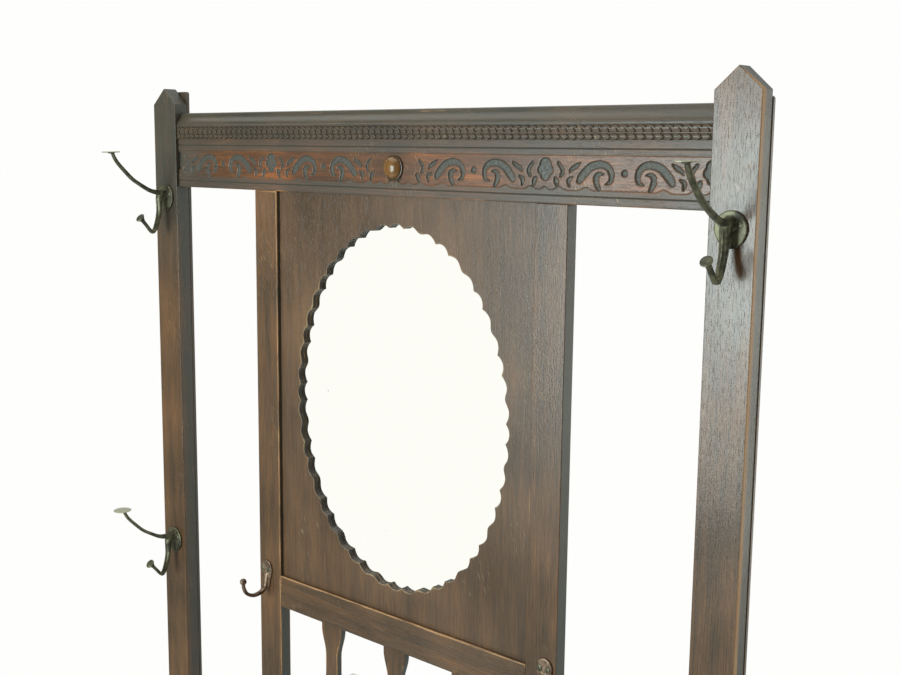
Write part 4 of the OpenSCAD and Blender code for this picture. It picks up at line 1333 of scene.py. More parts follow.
    def boss(self) -> None:
        """Makes the turned boss: a thin collar and a high polished dome."""
        node = "frieze_boss"
        low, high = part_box(node)
        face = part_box("frieze_board")[0][1]
        radius = (high[0] - low[0]) / 2
        rise = face - low[1]
        profile = [(0.0, -3 * MM), (radius, -3 * MM), (radius, 1.1 * MM),
                   (radius - 0.4 * MM, 1.7 * MM), (radius - 1.1 * MM, 1.9 * MM),
                   (radius - 1.5 * MM, 1.6 * MM)]
        dome = radius - 1.6 * MM
        profile += [(dome * math.cos(a) ** 0.9, 1.6 * MM + (rise - 1.6 * MM) * math.sin(a))
                    for a in np.linspace(0.05, math.pi / 2 - 0.03, 14)]
        profile.append((0.0, rise))
        shape = lathe(profile, 64).turned(Matrix.Rotation(math.pi / 2, 4, "X"))
        shape = shape.moved(((low[0] + high[0]) / 2, face, (low[2] + high[2]) / 2))
        shape.values["arris"] = np.zeros(len(shape.points))
        # Painted shade: the collar next to the board is darkened.
        shape.values["sunk"] = np.where(shape.points[:, 1] > face - 2.0 * MM, 0.85, 0.0)
        self.stand.piece("top_rail_boss", grained(shape, node, 2, 1, Figure.PLAIN), node)

    def build(self) -> None:
        """Makes the rail's pieces."""
        self.carved_board()
        self.cornice()
        self.rope()
        self.boss()


@dataclass
class MirrorFrame:
    """Stiles, scalloped panel, mirror and backboard. Sizes in mm."""

    stand: Stand
    tenon: float = 12.0
    tongue: float = 6.0
    tongue_play: float = 0.4
    worn_rim: float = 2.4
    plain_edge: float = 8.0
    oval_w: float = 344.0
    oval_h: float = 443.0
    scallops: int = 16
    scallop_depth: float = 5.0
    point_share: float = 0.15
    steps: int = 960

    def scallop(self, u: float) -> float:
        """Height of the scalloped edge at a share u of a repeat, from 0 to 1."""
        p = self.point_share
        near = min(u, 1 - u)
        if near < p:
            return (near / p) ** 2
        w = abs(2 * (u - p) / (1 - 2 * p) - 1)
        return ((w - 0.5) / 0.5) ** 2 if w > 0.5 else 0.85 * math.cos(math.pi * w) ** 2

    def opening(self, middle_z: float, rim: float) -> tuple[np.ndarray, np.ndarray]:
        """Makes the scalloped oval, its repeats even along the edge.

        Args:
            middle_z: Height of its middle, in metres.
            rim: How far a plain oval round it lies outside it, mm.

        Returns:
            Points of the scalloped edge, and of the plain oval.
        """
        a, b = self.oval_w / 2, self.oval_h / 2
        angles = np.arange(self.steps) * 2 * math.pi / self.steps
        speed = np.hypot(a * np.sin(angles + math.pi / self.steps),
                         b * np.cos(angles + math.pi / self.steps))
        run = np.concatenate([[0.0], np.cumsum(speed)])
        inset = np.array([self.scallop_depth * self.scallop((self.scallops * at / run[-1]) % 1.0)
                          for at in run[:-1]])
        oval = np.stack([a * np.cos(angles), b * np.sin(angles)], axis=1)
        out = np.stack([np.cos(angles) / a, np.sin(angles) / b], axis=1)
        out /= np.linalg.norm(out, axis=1)[:, None]
        middle = np.array([0.0, middle_z])
        return ((oval - inset[:, None] * out) * MM + middle, (oval + rim * out) * MM + middle)

    def panel(self) -> None:
        """Makes the panel round its opening, without the hidden tongue."""
        node = "mirror_panel"
        low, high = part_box(node)
        edge = (self.tongue - self.tongue_play) * MM
        x, z0, z1 = high[0] - edge, low[2] + edge, high[2] - edge
        middle = (z0 + z1) / 2
        edge_points, round_it = self.opening(middle, self.worn_rim)
        inner = outline(edge_points)
        rim = []
        for px, pz in inner.points:
            dx, dz = px, pz - middle
            reach = min(x / abs(dx) if dx else 1e9, (z1 - middle) / abs(dz) if dz else 1e9)
            rim.append((dx * reach, middle + dz * reach))
        flat = outline(rim, bend=360)
        shape = slab(flat, Axis.Y, low[1], high[1], ease=0.7 * MM, band=3.0 * MM, hole=inner,
                     rim=round_it)
        front = shape.normals[:, 1] < -0.99
        shape.values["arris"] = shape.values["arris"] * np.where(front, 1.05, 0.9)
        plain = self.plain_edge * MM
        rimmed = (np.abs(shape.points[:, 0]) > x - plain) | (
            np.abs(shape.points[:, 2] - middle) > z1 - middle - plain)
        shape.values["arris"] = np.where(rimmed, 0.0, shape.values["arris"])
        # Painted shade: the walls of the opening are darkened.
        wall = (np.abs(shape.normals[:, 1]) < 0.5) & ~rimmed
        shape.values["sunk"] = np.where(wall, 0.9, 0.0)
        self.stand.piece("mirror_panel_board", grained(shape, node, 2, 1, Figure.PLAIN), node)

    def build(self) -> None:
        """Makes the frame's pieces."""
        for side, way in (("left", 1), ("right", -1)):
            self.stile(f"{side}_stile", way)
        self.panel()
        low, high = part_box("mirror_glass")
        self.stand.piece("mirror_plate", block(low, high, 0.6 * MM), "mirror_glass")
        self.fillets()
        board(self.stand, "mirror_backboard", 2, 1, Figure.PLAIN)
        board(self.stand, "panel_rail", 0, 1, trim=self.tenon * MM,
              wear=lambda s: np.where(s.points[:, 2] > s.points[:, 2].max() - 6 * MM, 1.1, 0.6))

    def stile(self, node: str, inner_way: int) -> None:
        """Makes a stile, the inner front arris of the left one the most worn."""
        low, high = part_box(node)
        low[2] += self.tenon * MM
        high[2] -= self.tenon * MM
        shape = grained(block(low, high), node, 2, 1)
        inner = high[0] if inner_way > 0 else low[0]
        near = np.abs(shape.points[:, 0] - inner) < 6 * MM
        rub = 1.0 if inner_way > 0 else 0.8
        shape.values["arris"] = shape.values["arris"] * np.where(near, rub, 0.7)
        # Painted shade: the side faces are darkened.
        shape.values["sunk"] = np.where(np.abs(shape.normals[:, 0]) > 0.9, 0.85, 0.0)
        self.stand.piece(node + "_board", shape, node)

    def fillets(self) -> None:
        """Makes the four fillets that hold the glass."""
        low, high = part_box("glass_fillets")
        glass_low, glass_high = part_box("mirror_glass")
        gx, gz0, gz1 = glass_high[0] + 0.15 * MM, glass_low[2] - 0.15 * MM, glass_high[2] + 0.15 * MM
        parts = []
        for name, x0, x1, z0, z1, along in (
                ("a", low[0], -gx, gz0, gz1, 2), ("b", gx, high[0], gz0, gz1, 2),
                ("c", low[0], high[0], low[2], gz0, 0), ("d", low[0], high[0], gz1, high[2], 0)):
            parts.append(grained(block((x0, low[1], z0), (x1, high[1], z1), 0.5 * MM),
                                 "fillet_" + name, along, 1))
        self.stand.piece("glass_fillet_strips", joined(parts), "glass_fillets")


@dataclass
class Splats:
    """Three pierced-look splats between two rails. Sizes in mm."""

    stand: Stand
    tenon: float = 12.0
    splat_w: float = 36.0
    waist: float = 21.0
    belly: float = 48.0
    steps: int = 56

    def half(self, t: float) -> float:
        """Half width of a splat at a share t of its length, the same from both ends."""
        u = min(t, 1 - t) * 2

        def smooth(s: float) -> float:
            """Ease from 0 to 1."""
            return s * s * (3 - 2 * s)

        if u < 0.05:
            return self.splat_w / 2
        if u < 0.28:
            return (self.splat_w + (self.waist - self.splat_w) * smooth((u - 0.05) / 0.23)) / 2
        if u < 0.42:
            return self.waist / 2
        return (self.waist + (self.belly - self.waist) * smooth((u - 0.42) / 0.58)) / 2

    def build(self) -> None:
        """Makes the splats and the rail under them."""
        z0, z1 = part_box("splat_rail")[1][2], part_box("panel_rail")[0][2]
        for name in ("splat_left", "splat_centre", "splat_right"):
            low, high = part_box(name)
            middle = (low[0] + high[0]) / 2
            run = [i / self.steps for i in range(self.steps + 1)]
            right = [(middle + self.half(t) * MM, z0 + (z1 - z0) * t) for t in run]
            left = [(middle - self.half(t) * MM, z0 + (z1 - z0) * t) for t in reversed(run)]
            shape = slab(outline(right + left, 0.7 * MM, bend=45), Axis.Y, low[1], high[1],
                         ease=0.7 * MM, band=3.5 * MM)
            # Painted shade: the side faces are darkened.
            shape.values["sunk"] = np.where(np.abs(shape.normals[:, 1]) < 0.1, 0.85, 0.0)
            self.stand.piece(name + "_board", grained(shape, name, 2, 1), name)
        board(self.stand, "splat_rail", 0, 1, trim=self.tenon * MM)


@dataclass
class Hooks:
    """Four double hat-and-coat hooks and two single hooks. Sizes in mm."""

    stand: Stand
    repeat: Repeat
    voxel: float = 0.62
    plate_w: float = 34.0
    plate_t: float = 2.8
    disc_d: float = 24.5
    disc_top: float = 62.2
    head_d: float = 13.5
    ball_d: float = 9.0
    screw_x: float = 9.7
    screw_z: float = 5.0
    stile_screw_x: float = 5.4
    stile_screw_z: float = 8.0
    stile_plate_w: float = 21.6
    stile_plate_t: float = 2.4
    stile_plate_top: float = 20.0
    rise: float = 63.0

    def plate(self) -> Shape:
        """Makes the shield plate of a double hook, wide above and drawn in below."""
        r = self.plate_w / 2
        up = [(r * math.cos(a), 1 + r * math.sin(a))
              for a in np.radians(np.arange(-20, 201, 11))]
        sweep = curve_through([up[-1], (-0.36 * self.plate_w, -11.5),
                               (-0.2 * self.plate_w, -16.2), (0, -17.5),
                               (0.2 * self.plate_w, -16.2), (0.36 * self.plate_w, -11.5),
                               up[0]], 5)
        corners = [(x * MM, z * MM) for x, z in up + [tuple(p) for p in sweep[1:-1]]]
        return slab(outline(corners), Axis.Y, -self.plate_t * MM, 0.0, ease=1.1 * MM,
                    band=3 * MM)

    def cast(self, name: str, parts: Sequence[Shape], slot: str) -> bpy.types.Object:
        """Melts overlapping shapes into one casting.

        Args:
            name: Name of the object.
            parts: Shapes that overlap each other.
            slot: Finish of the casting.

        Returns:
            The object at the origin.
        """
        bare = [Shape(s.points, s.faces) for s in parts]
        thing = mesh_object(name, joined(bare), self.stand.materials[slot])
        remesh = thing.modifiers.new("cast", "REMESH")
        remesh.mode = "VOXEL"
        remesh.voxel_size = self.voxel * MM
        smooth = thing.modifiers.new("fettle", "SMOOTH")
        smooth.factor = 0.5
        smooth.iterations = 5
        applied(thing)
        thing.data.shade_smooth()
        thing.data.materials.clear()
        thing.data.materials.append(self.stand.materials[slot])
        rubbed(thing.data)
        return thing

    def double(self) -> bpy.types.Object:
        """Makes a double hook about the middle of its plate."""
        upper = arm([(-0.5, 5.5, 15, 14), (-5, 6.4, 12.6, 11.5), (-15, 7.5, 10, 7.2),
                     (-27, 10.5, 9.0, 5.4), (-39.5, 17, 8.4, 4.8), (-54, 26, 8.0, 4.5),
                     (-67, 38, 7.6, 4.3), (-77, 48.5, 7.0, 4.1), (-82.3, 57, 6.2, 3.8),
                     (-83.6, 61.8, 5.6, 3.4)])
        lower = arm([(-9, 8, 12, 9), (-11.8, 0, 11, 8), (-12.3, -9, 10.4, 6.4),
                     (-12.9, -18, 9.8, 5.2), (-14.6, -27, 9.4, 4.7), (-17.5, -36.5, 9, 4.5),
                     (-20.8, -43.6, 8.4, 4.4), (-24.4, -46.6, 7.6, 4.6),
                     (-28.4, -43.4, 7.0, 4.4), (-32.6, -38.4, 6.6, 4.2),
                     (-37.0, -33.4, 6.4, 4.4), (-40.6, -29.4, 6.6, 5.0)])
        ridge = arm([(-12.6, 4, 3.4, 5), (-15.0, -4, 3.2, 4.2), (-15.2, -14, 3.0, 3.6),
                     (-16.4, -24, 2.8, 3.2), (-18.9, -34, 2.6, 2.8), (-22.2, -42, 2.2, 2.2)],
                    12, 2.0)
        disc_r, head_r = self.disc_d / 2 * MM, self.head_d / 2 * MM
        disc = lathe([(0.0, -2.4 * MM), (2.9 * MM, -2.1 * MM), (4.6 * MM, -0.9 * MM),
                      (disc_r - 0.6 * MM, -0.6 * MM), (disc_r, 0.0),
                      (disc_r - 0.6 * MM, 0.6 * MM), (0.0, 0.7 * MM)], 44)
        disc = disc.turned(Matrix.Rotation(math.radians(1.5), 4, "X"))
        disc = disc.moved((0, -86 * MM, 62.0 * MM))
        head = lathe([(0.0, -3 * MM), (2.9 * MM, -3 * MM), (3.7 * MM, -0.6 * MM),
                      (head_r - 0.9 * MM, 2.1 * MM), (head_r, 3.2 * MM),
                      (head_r - 0.8 * MM, 4.2 * MM), (head_r * 0.5, 4.9 * MM),
                      (0.0, 5.1 * MM)], 32)
        head = head.turned(Matrix.Rotation(math.radians(48), 4, "X"))
        head = head.moved((0, -41.2 * MM, -28.4 * MM))
        hook = self.cast("double_hook", [self.plate(), upper, lower, ridge, disc, head],
                         "bronze_hooks")
        # Painted reflection: the whole top of each disc is painted in the pale bare metal colour.
        rub = hook.data.attributes["rub"].data
        for vertex in hook.data.vertices:
            if vertex.co.z > self.disc_top * MM:
                rub[vertex.index].value = 1.0
        return hook

    def single(self) -> bpy.types.Object:
        """Makes a single hook about the middle of its plate."""
        r = self.stile_plate_w / 2
        up = [(r * math.cos(a), 20 - r + r * math.sin(a))
              for a in np.radians(np.arange(0, 181, 12))]
        sweep = curve_through([up[-1], (-r * 0.93, 2), (-r * 0.66, -8), (-4.2, -19),
                               (4.2, -19), (r * 0.66, -8), (r * 0.93, 2), up[0]], 5)
        corners = [(x * MM, z * MM) for x, z in up + [tuple(p) for p in sweep[1:-1]]]
        plate = slab(outline(corners), Axis.Y, -self.stile_plate_t * MM, 0.0, ease=0.9 * MM,
                     band=2.4 * MM)
        bar = arm([(-1.6, 2, 9, 4.2), (-2.6, -7, 8.4, 5), (-4.6, -16.4, 7.6, 5.4),
                   (-11, -21.8, 7.2, 5.2), (-20.5, -23.4, 7, 5), (-28, -22.1, 6.8, 4.8),
                   (-36, -17, 6.4, 4.6), (-40, -9.6, 5.6, 4.4), (-41.2, -3, 4.8, 4.2)])
        rb = self.ball_d / 2 * MM
        ball = lathe([(rb * math.cos(a), rb * math.sin(a))
                      for a in np.linspace(-math.pi / 2, math.pi / 2, 15)], 24)
        ball = ball.moved((0, -41 * MM, 0))
        return self.cast("single_hook", [plate, bar, ball], "copper_hooks")

    def screw_head(self) -> Shape:
        """Makes a raised countersunk head with its slot, facing -Y."""
        r, slot = 3.3 * MM, 0.42 * MM
        halves = []
        for way in (1, -1):
            start = math.asin(slot / r)
            rim = [(r * math.cos(a), r * math.sin(a))
                   for a in np.linspace(start, math.pi - start, 13)]
            rows = []
            for share, lift in ((1.0, 0.0), (0.94, 0.35), (0.6, 0.7), (0.25, 0.85)):
                rows.append([(x * share, lift * MM, max(z * share, slot)) for x, z in rim])
            points = np.array([(x, -y, z * way) for row in rows for x, y, z in row]
                              + [(x, 0.9 * MM, z * way) for x, z in rim])
            n = len(rim)
            faces = []
            for k in range(3):
                for i in range(n - 1):
                    faces.append((k * n + i, k * n + i + 1, (k + 1) * n + i + 1,
                                  (k + 1) * n + i))
            faces.append(tuple(range(3 * n, 4 * n)))
            faces += [(i, 4 * n + i, 4 * n + i + 1, i + 1) for i in range(n - 1)]
            faces.append(tuple(range(4 * n, 5 * n))[::-1])
            faces.append((0, n, 2 * n, 3 * n, 4 * n - 1, 3 * n - 1, 2 * n - 1, n - 1,
                          5 * n - 1, 4 * n))
            halves.append(Shape(points, faces).welded().outward())
        floor = lathe([(0.0, -0.1 * MM), (r * 0.97, -0.1 * MM), (r * 0.97, 0.1 * MM),
                       (0.0, 0.1 * MM)], 20).turned(Matrix.Rotation(math.pi / 2, 4, "X"))
        return joined([*halves, floor.moved((0, 0.35 * MM, 0))])

    def build(self) -> None:
        """Makes the hooks and sets their screws."""
        units = {"double": self.double(), "single": self.single()}
        places, turns = [], []
        pick = np.random.default_rng(11)
        jobs = [(f"{side}_{level}_hook", "double", f"{side}_post")
                for side in ("left", "right") for level in ("upper", "lower")]
        jobs += [(f"{side}_stile_hook", "single", f"{side}_stile") for side in ("left", "right")]
        for node, unit, seat in jobs:
            low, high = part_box(node)
            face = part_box(seat)[0][1]
            middle = (low[0] + high[0]) / 2
            if unit == "double":
                z = high[2] - self.rise * MM
                sx, sz, out = self.screw_x, self.screw_z, self.plate_t
            else:
                z = high[2] - self.stile_plate_top * MM
                sx, sz, out = self.stile_screw_x, self.stile_screw_z, self.stile_plate_t
            thing = bpy.data.objects.new(node + "_casting", units[unit].data.copy())
            bpy.context.scene.collection.objects.link(thing)
            thing.data.transform(Matrix.Translation((middle, face, z)))
            self.stand.place(thing, node)
            for way in (-1, 1):
                places.append((middle + way * sx * MM, face - (out + 0.1) * MM, z + sz * MM))
                turns.append((0.0, pick.uniform(0, math.pi), 0.0))
        for thing in units.values():
            bpy.data.objects.remove(thing)
        heads = self.repeat.make("hook_screw_heads", self.screw_head(), places, turns,
                                 self.stand.materials["brass"], sharp=30)
        self.stand.place(heads, "hook_screws")


def notched(front: float, back: float, half: float) -> Outline:
    """Makes the outline of a board that is notched round the inner front legs.

    Args:
        front: Place of its front edge, in metres.
        back: Place of its back edge.
        half: Half its length.

    Returns:
        The outline, seen from above.
    """
    leg_low, leg_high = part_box("right_inner_leg")
    inner, notch = leg_low[0], leg_high[1]
    right = [(inner, front), (inner, notch), (half, notch), (half, back)]
    return outline(right + [(-x, y) for x, y in reversed(right)], EASE)


@dataclass
class Base:
    """Front legs, back and base rails, shelf and tray bearers. Sizes in mm."""

    stand: Stand
    tenon: float = 12.0
    leg_gable: float = 12.0

    def outer_leg(self, side: str) -> None:
        """Makes an outer front leg with a small gable, like the posts."""
        node = f"{side}_outer_leg"
        low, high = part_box(node)
        eaves = high[2] - self.leg_gable * MM
        corners = [(low[0], 0), (high[0], 0), (high[0], eaves),
                   ((low[0] + high[0]) / 2, high[2]), (low[0], eaves)]
        shape = slab(outline(corners, EASE), Axis.Y, low[1], high[1])
        self.stand.piece(node + "_board", grained(shape, node, 2, 1), node)

    def build(self) -> None:
        """Makes the base's pieces."""
        tenon = self.tenon * MM
        for side in ("left", "right"):
            self.outer_leg(side)
            board(self.stand, f"{side}_inner_leg", 2, 1)
            board(self.stand, f"{side}_back_rail", 0, 1, trim=tenon)
            board(self.stand, f"{side}_bay_front_rail", 0, 1, trim=tenon)
            board(self.stand, f"{side}_bay_side_rail", 1, 0, trim=tenon)
            board(self.stand, f"{side}_base_side_rail", 1, 0, trim=tenon)
            board(self.stand, f"{side}_divider_rail", 1, 0, trim=tenon)
        for name in ("base_back_rail", "base_front_rail_left", "base_front_rail_centre",
                     "base_front_rail_right"):
            board(self.stand, name, 0, 1, trim=tenon)
        self.boards_between("base_shelf", 3)
        self.bearers()

    def boards_between(self, node: str, count: int) -> None:
        """Makes a shelf of tongued boards that runs from the front rail to the back.

        Args:
            node: Node of the shelf.
            count: Number of boards, side by side from front to back.
        """
        low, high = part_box(node)
        parts = []
        cuts = np.linspace(low[1], high[1], count + 1)
        cuts[1] = max(cuts[1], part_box("right_inner_leg")[1][1] + 4 * MM)
        for k in range(count):
            y0, y1 = cuts[k] + 0.15 * MM, cuts[k + 1] - 0.15 * MM
            if k == 0:
                part = slab(notched(y0, y1, high[0]), Axis.Z, low[2], high[2])
            else:
                part = block((low[0], y0, low[2]), (high[0], y1, high[2]))
            parts.append(grained(part, f"{node}_{k}", 0, 2, Figure.PLAIN))
        self.stand.piece(node + "_boards", joined(parts), node)

    def bearers(self) -> None:
        """Makes the four bearers under the trays."""
        low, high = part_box("tray_bearers")
        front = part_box("right_bay_front_rail")
        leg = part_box("right_inner_leg")
        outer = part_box("right_outer_leg")
        divider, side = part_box("right_divider_rail"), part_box("right_base_side_rail")
        thick = high[2] - low[2]
        parts = []
        for x0, x1, y0 in ((leg[1][0], outer[0][0], front[1][1]),
                           (divider[1][0], side[0][0], high[1] - thick)):
            part = block((x0, y0, low[2]), (x1, y0 + thick, high[2]), 0.6 * MM)
            parts += [grained(part, f"bearer_{len(parts)}", 0, 1)]
            parts += [grained(part.mirrored(), f"bearer_{len(parts)}", 0, 1)]
        self.stand.piece("tray_bearer_strips", joined(parts), "tray_bearers")


@dataclass
class GloveBox:
    """The lidded box with its lid, fixed strip and hinges. Sizes in mm."""

    stand: Stand
    repeat: Repeat
    tenon: float = 12.0
    hinge_l: float = 44.0
    hinge_inset: float = 70.0
    leaf_head_out: float = 1.11
    leaf_head: tuple[float, float, float] = (0.62, 0.14, 0.62)
    back_inset: float = 5.0
    back_end: float = 9.0
    back_rows: int = 4
    leaf_drop: float = 7.7
    leaf_screws: tuple[float, ...] = (0.18, 0.5, 0.82)

    def lid(self) -> None:
        """Makes the lid with its round nosing at the front."""
        node = "box_lid"
        low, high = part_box(node)
        r = (high[2] - low[2]) / 2
        nose = [(low[1] + r - r * math.sin(a), low[2] + r - r * math.cos(a))
                for a in np.linspace(0, math.pi, 15)]
        corners = [(high[1], high[2]), (high[1], low[2]), *nose][::-1]
        shape = slab(outline(corners, EASE, bend=40), Axis.X, low[0], high[0])
        front = shape.points[:, 1] < low[1] + r
        shape.values["arris"] = np.maximum(shape.values["arris"] * 0.8,
                                           np.where(front, 0.55, 0.0))
        self.stand.piece("box_lid_board", grained(shape, node, 0, 2, Figure.PLAIN), node)

    def bottom(self) -> None:
        """Makes the bottom of the box, notched round the front legs."""
        node = "box_bottom"
        low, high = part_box(node)
        shape = slab(notched(low[1], high[1], high[0]), Axis.Z, low[2], high[2])
        self.stand.piece("box_bottom_board", grained(shape, node, 0, 2, Figure.PLAIN), node)

    def build(self) -> None:
        """Makes the box, its lid and its hardware."""
        board(self.stand, "box_front", 0, 1, Figure.PLAIN, trim=self.tenon * MM)
        board(self.stand, "box_left_side", 1, 0)
        board(self.stand, "box_right_side", 1, 0)
        board(self.stand, "box_back", 0, 1, Figure.PLAIN)
        board(self.stand, "lid_back_strip", 0, 2)
        self.bottom()
        self.lid()
        self.stand.keep("hinge_leaves_fixed", "hinge_leaves_lid", "hinge_pins")
        self.leaf_heads()

    def leaf_heads(self) -> None:
        """Sets the screws of the hinge leaves, those of the lid on the lid."""
        head = Hooks(self.stand, self.repeat).screw_head()
        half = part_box("box_lid")[1][0]
        for name, nodes, way in (("lid_leaf_screw_heads", ("lid_screws",), -1),
                                 ("strip_leaf_screw_heads", (), 1)):
            out = self.leaf_head_out * MM
            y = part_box("box_lid")[1][1] + out if way < 0 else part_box("lid_back_strip")[0][1] - out
            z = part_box("box_lid")[1][2] - self.leaf_drop * MM
            places, turns = [], []
            for side in (-1, 1):
                start = half - (self.hinge_inset + self.hinge_l) * MM
                for share in self.leaf_screws:
                    places.append((side * (start + share * self.hinge_l * MM), y, z))
                    turns.append((0.0, 1.1 * len(places), math.pi if way < 0 else 0.0))
            small = Shape(head.points * np.array(self.leaf_head), head.faces)
            heads = self.repeat.make(name, small, places, turns,
                                     self.stand.materials["brass"], sharp=30)
            if nodes:
                self.stand.place(heads, *nodes)
            else:
                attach(heads, self.stand.bodies["hinge_leaves_fixed"])
        self.back_heads()

    def back_heads(self) -> None:
        """Sets the steel screws that hold the backboard."""
        low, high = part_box("mirror_backboard")
        inset, end = self.back_inset * MM, self.back_end * MM
        x, y = high[0] - inset, high[1] - 0.1 * MM
        rows = np.linspace(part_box("panel_rail")[1][2] + end,
                           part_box("frieze_board")[0][2] - end, self.back_rows)
        places = [(side * x, y, z) for side in (-1, 1) for z in rows]
        places += [(side * (x - end) * 2 / 3, y, z)
                   for side in (-1, 1) for z in (low[2] + inset, high[2] - inset)]
        turns = [(0.0, 0.7 * k, math.pi) for k in range(len(places))]
        head = Hooks(self.stand, self.repeat).screw_head()
        heads = self.repeat.make("backboard_screw_heads", head, places, turns,
                                 self.stand.materials["steel_screws"], sharp=30)
        self.stand.place(heads, "frame_screws")


@dataclass
class DripTrays:
    """The two pressed trays that catch water from wet umbrellas. Sizes in mm."""

    stand: Stand
    flange: float = 14.0
    side_flange: float = 5.0
    wall: float = 1.5
    corner: float = 10.0
    steps: int = 6

    def ring(self, low: Sequence[float], high: Sequence[float], dx: float, dy: float,
             corner: float, z: float) -> np.ndarray:
        """Points of a rectangle with round corners, drawn in by dx and dy, at a height."""
        x0, x1, y0, y1 = low[0] + dx, high[0] - dx, low[1] + dy, high[1] - dy
        points = []
        for cx, cy, start in ((x1 - corner, y1 - corner, 0), (x0 + corner, y1 - corner, 90),
                              (x0 + corner, y0 + corner, 180), (x1 - corner, y0 + corner, 270)):
            for k in range(self.steps + 1):
                a = math.radians(start + 90 * k / self.steps)
                points.append((cx + corner * math.cos(a), cy + corner * math.sin(a), z))
        return np.array(points)

    def tray(self, side: str) -> None:
        """Makes a tray: a rolled rim, a flange, sloping walls and a dished floor."""
        node = f"{side}_drip_tray"
        low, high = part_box(node)
        top, foot = high[2] / MM, low[2] / MM
        fx, fy, t = self.side_flange, self.flange, self.wall
        path = [(0.9, 0.9, top - 1.9), (0.25, 0.25, top - 1.7), (0.0, 0.0, top - 1.2),
                (0.3, 0.3, top - 0.5), (1.1, 1.1, top), (2.0, 2.0, top - 0.4),
                (fx - 1.6, fy - 1.8, top - 0.5), (fx - 0.2, fy - 0.4, top - 1.4),
                (fx + 0.5, fy + 0.4, top - 3.2), (fx + 1.4, fy + 1.6, foot + 5.2),
                (fx + 2.2, fy + 2.6, foot + 2.9), (fx + 4.4, fy + 4.8, foot + 1.9),
                (fx + 14.0, fy + 14.0, foot + 1.55), (fx + 30.0, fy + 40.0, foot + 1.5)]
        under = [(dx - t * 0.5, dy - t * 0.5, z - t * 0.8) for dx, dy, z in path[7:]]
        under[0] = (under[0][0], under[0][1], top - 1.95)
        under[-1] = (path[-1][0], path[-1][1], foot + 0.4)
        under[-2] = (under[-2][0], under[-2][1], foot + 0.2)
        under[-3] = (under[-3][0], under[-3][1], foot)
        rim = [(2.2, 2.2, top - 1.9), (1.7, 1.7, top - 1.95)]
        rings = []
        for dx, dy, z in path + under[::-1] + rim:
            corner = max(2.0, self.corner - 0.5 * min(dx, 12))
            rings.append(self.ring(low, high, dx * MM, dy * MM, corner * MM, z * MM))
        n = len(rings[0])
        faces = []
        last = len(path) - 1
        for k in range(len(rings)):
            if k == last:
                continue
            a, b = k * n, ((k + 1) % len(rings)) * n
            for i in range(n):
                j = (i + 1) % n
                faces.append((a + i, a + j, b + j, b + i))
        faces.append(tuple(last * n + i for i in range(n)))
        faces.append(tuple((last + 1) * n + i for i in reversed(range(n))))
        shape = Shape(np.vstack(rings), faces).outward()
        self.stand.piece(f"{side}_drip_tray_pressing", shape, node, sharp=50)

    def build(self) -> None:
        """Makes both trays."""
        for side in ("left", "right"):
            self.tray(side)


# ------------------------------------------------------------------ studio

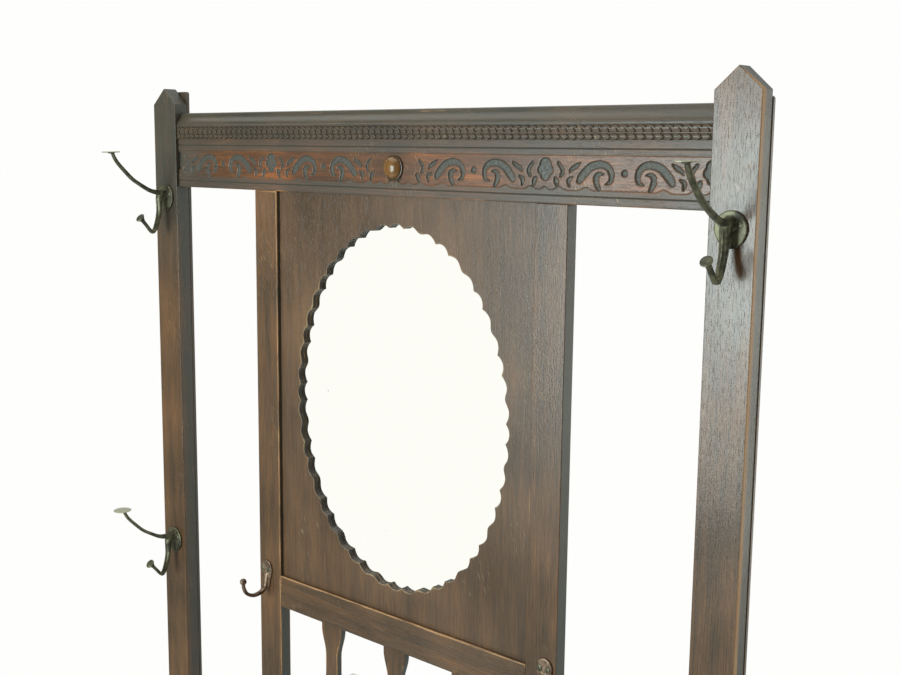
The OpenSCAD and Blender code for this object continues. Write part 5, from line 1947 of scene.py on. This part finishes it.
@dataclass(frozen=True)
class Studio:
    """Camera, lights and floor. Sizes in metres, angles in degrees."""

    eye: tuple[float, float, float] = (0.96426, -0.87412, 1.75105)
    turn: float = 41.249
    tip: float = -8.874
    roll: float = -0.633
    lens: float = 47.964
    floor_size: float = 3.6
    front_glow: float = 0.4
    back_glow: float = 0.95
    window_at: tuple[float, float, float] = (-0.72, -2.28, 1.44)
    window_size: tuple[float, float] = (1.0, 1.3)
    window_power: float = 64.0

    def camera(self) -> None:
        """Makes the camera."""
        data = bpy.data.cameras.new("camera")
        data.lens = self.lens
        data.clip_start = 0.05
        thing = bpy.data.objects.new("camera", data)
        thing.matrix_world = (Matrix.Translation(self.eye)
                              @ Matrix.Rotation(math.radians(self.turn), 4, "Z")
                              @ Matrix.Rotation(math.radians(self.tip), 4, "X")
                              @ Matrix.Rotation(math.radians(self.roll), 4, "Y")
                              @ Matrix.Rotation(math.pi / 2, 4, "X"))
        bpy.context.scene.collection.objects.link(thing)
        bpy.context.scene.camera = thing

    def softbox(self, name: str, at: Sequence[float], aim: Sequence[float],
                size: tuple[float, float], power: float, colour: str) -> None:
        """Makes a rectangular soft light.

        Args:
            name: Name of the light.
            at: Its place.
            aim: Point that it faces.
            size: Width and height.
            power: Watts.
            colour: Hex colour.
        """
        data = bpy.data.lights.new(name, "AREA")
        data.shape = "RECTANGLE"
        data.size, data.size_y = size
        data.energy = power
        data.color = linear(colour)[:3]
        thing = bpy.data.objects.new(name, data)
        thing.visible_camera = False
        way = Vector(aim) - Vector(at)
        thing.matrix_world = Matrix.Translation(at) @ way.to_track_quat("-Z", "Y").to_matrix(
            ).to_4x4()
        bpy.context.scene.collection.objects.link(thing)

    def world(self) -> None:
        """Makes a white surround that lights the stand most from behind, off a backdrop."""
        world = bpy.data.worlds.new("studio_white")
        world.use_nodes = True
        tree = world.node_tree
        tree.nodes.clear()
        camera = add(tree, "ShaderNodeLightPath", out="Is Camera Ray")
        mirror = add(tree, "ShaderNodeLightPath", out="Is Singular Ray")
        seen = add(tree, "ShaderNodeMath", {0: camera, 1: mirror}, operation="MAXIMUM")
        way = add(tree, "ShaderNodeTexCoord", out="Generated")
        behind = add(tree, "ShaderNodeVectorMath", {0: way, 1: (0.15, 0.8, 0.58)}, out="Value",
                     operation="DOT_PRODUCT")
        share = add(tree, "ShaderNodeMapRange", {0: behind, 1: -0.1, 2: 0.6})
        glow = add(tree, "ShaderNodeMapRange", {0: share, 3: self.front_glow,
                                                4: self.back_glow})
        strength = add(tree, "ShaderNodeMix", {0: seen, 2: glow, 3: 1.0})
        tint = add(tree, "ShaderNodeMix", {0: share, 6: linear("ede9db"),
                                           7: linear("e9f5f4")}, out=2, data_type="RGBA")
        colour = add(tree, "ShaderNodeMix", {0: seen, 6: tint,
                                             7: linear("fefefc")}, out=2, data_type="RGBA")
        back = add(tree, "ShaderNodeBackground", {"Color": colour, "Strength": strength})
        add(tree, "ShaderNodeOutputWorld", {"Surface": back})
        bpy.context.scene.world = world

    def floor(self) -> None:
        """Makes the plain pale floor."""
        half = self.floor_size / 2
        material, tree = new_material("pale_floor_paint")
        shader = add(tree, "ShaderNodeBsdfPrincipled", {
            "Base Color": linear("e4e3df"), "Roughness": 0.75})
        add(tree, "ShaderNodeOutputMaterial", {"Surface": shader})
        shape = Shape(np.array([[-half, -half, 0], [half, -half, 0], [half, half, 0],
                                [-half, half, 0]]), [(0, 1, 2, 3)])
        floor = mesh_object("studio_floor", shape, material)

    def build(self) -> None:
        """Makes the studio."""
        self.camera()
        self.world()
        self.softbox("window_light", self.window_at, (0.3, 0.1, 1.2), self.window_size,
                     self.window_power, "e8f9fa")
        self.softbox("side_glow", (1.27, 2.4, 1.35), (0.4, 0.12, 1.45), (0.75, 1.8), 13.0,
                     "faf7e7")
        self.softbox("top_fill", (-0.6, -0.3, 3.3), (0.0, 0.1, 1.5), (2.6, 2.0), 28.0, "f4f7f2")
        self.floor()
        bpy.context.scene.view_settings.view_transform = "Standard"


def main() -> None:
    """Builds the studio and the stand."""
    logging.basicConfig(level=logging.INFO, format="%(name)s: %(message)s")
    Studio().build()
    stand = Stand(frame)
    repeat = Repeat()
    for part in (Posts(stand), TopRail(stand, repeat), MirrorFrame(stand), Splats(stand),
                 Hooks(stand, repeat), Base(stand), GloveBox(stand, repeat),
                 DripTrays(stand)):
        part.build()


if __name__ == "__main__":
    main()
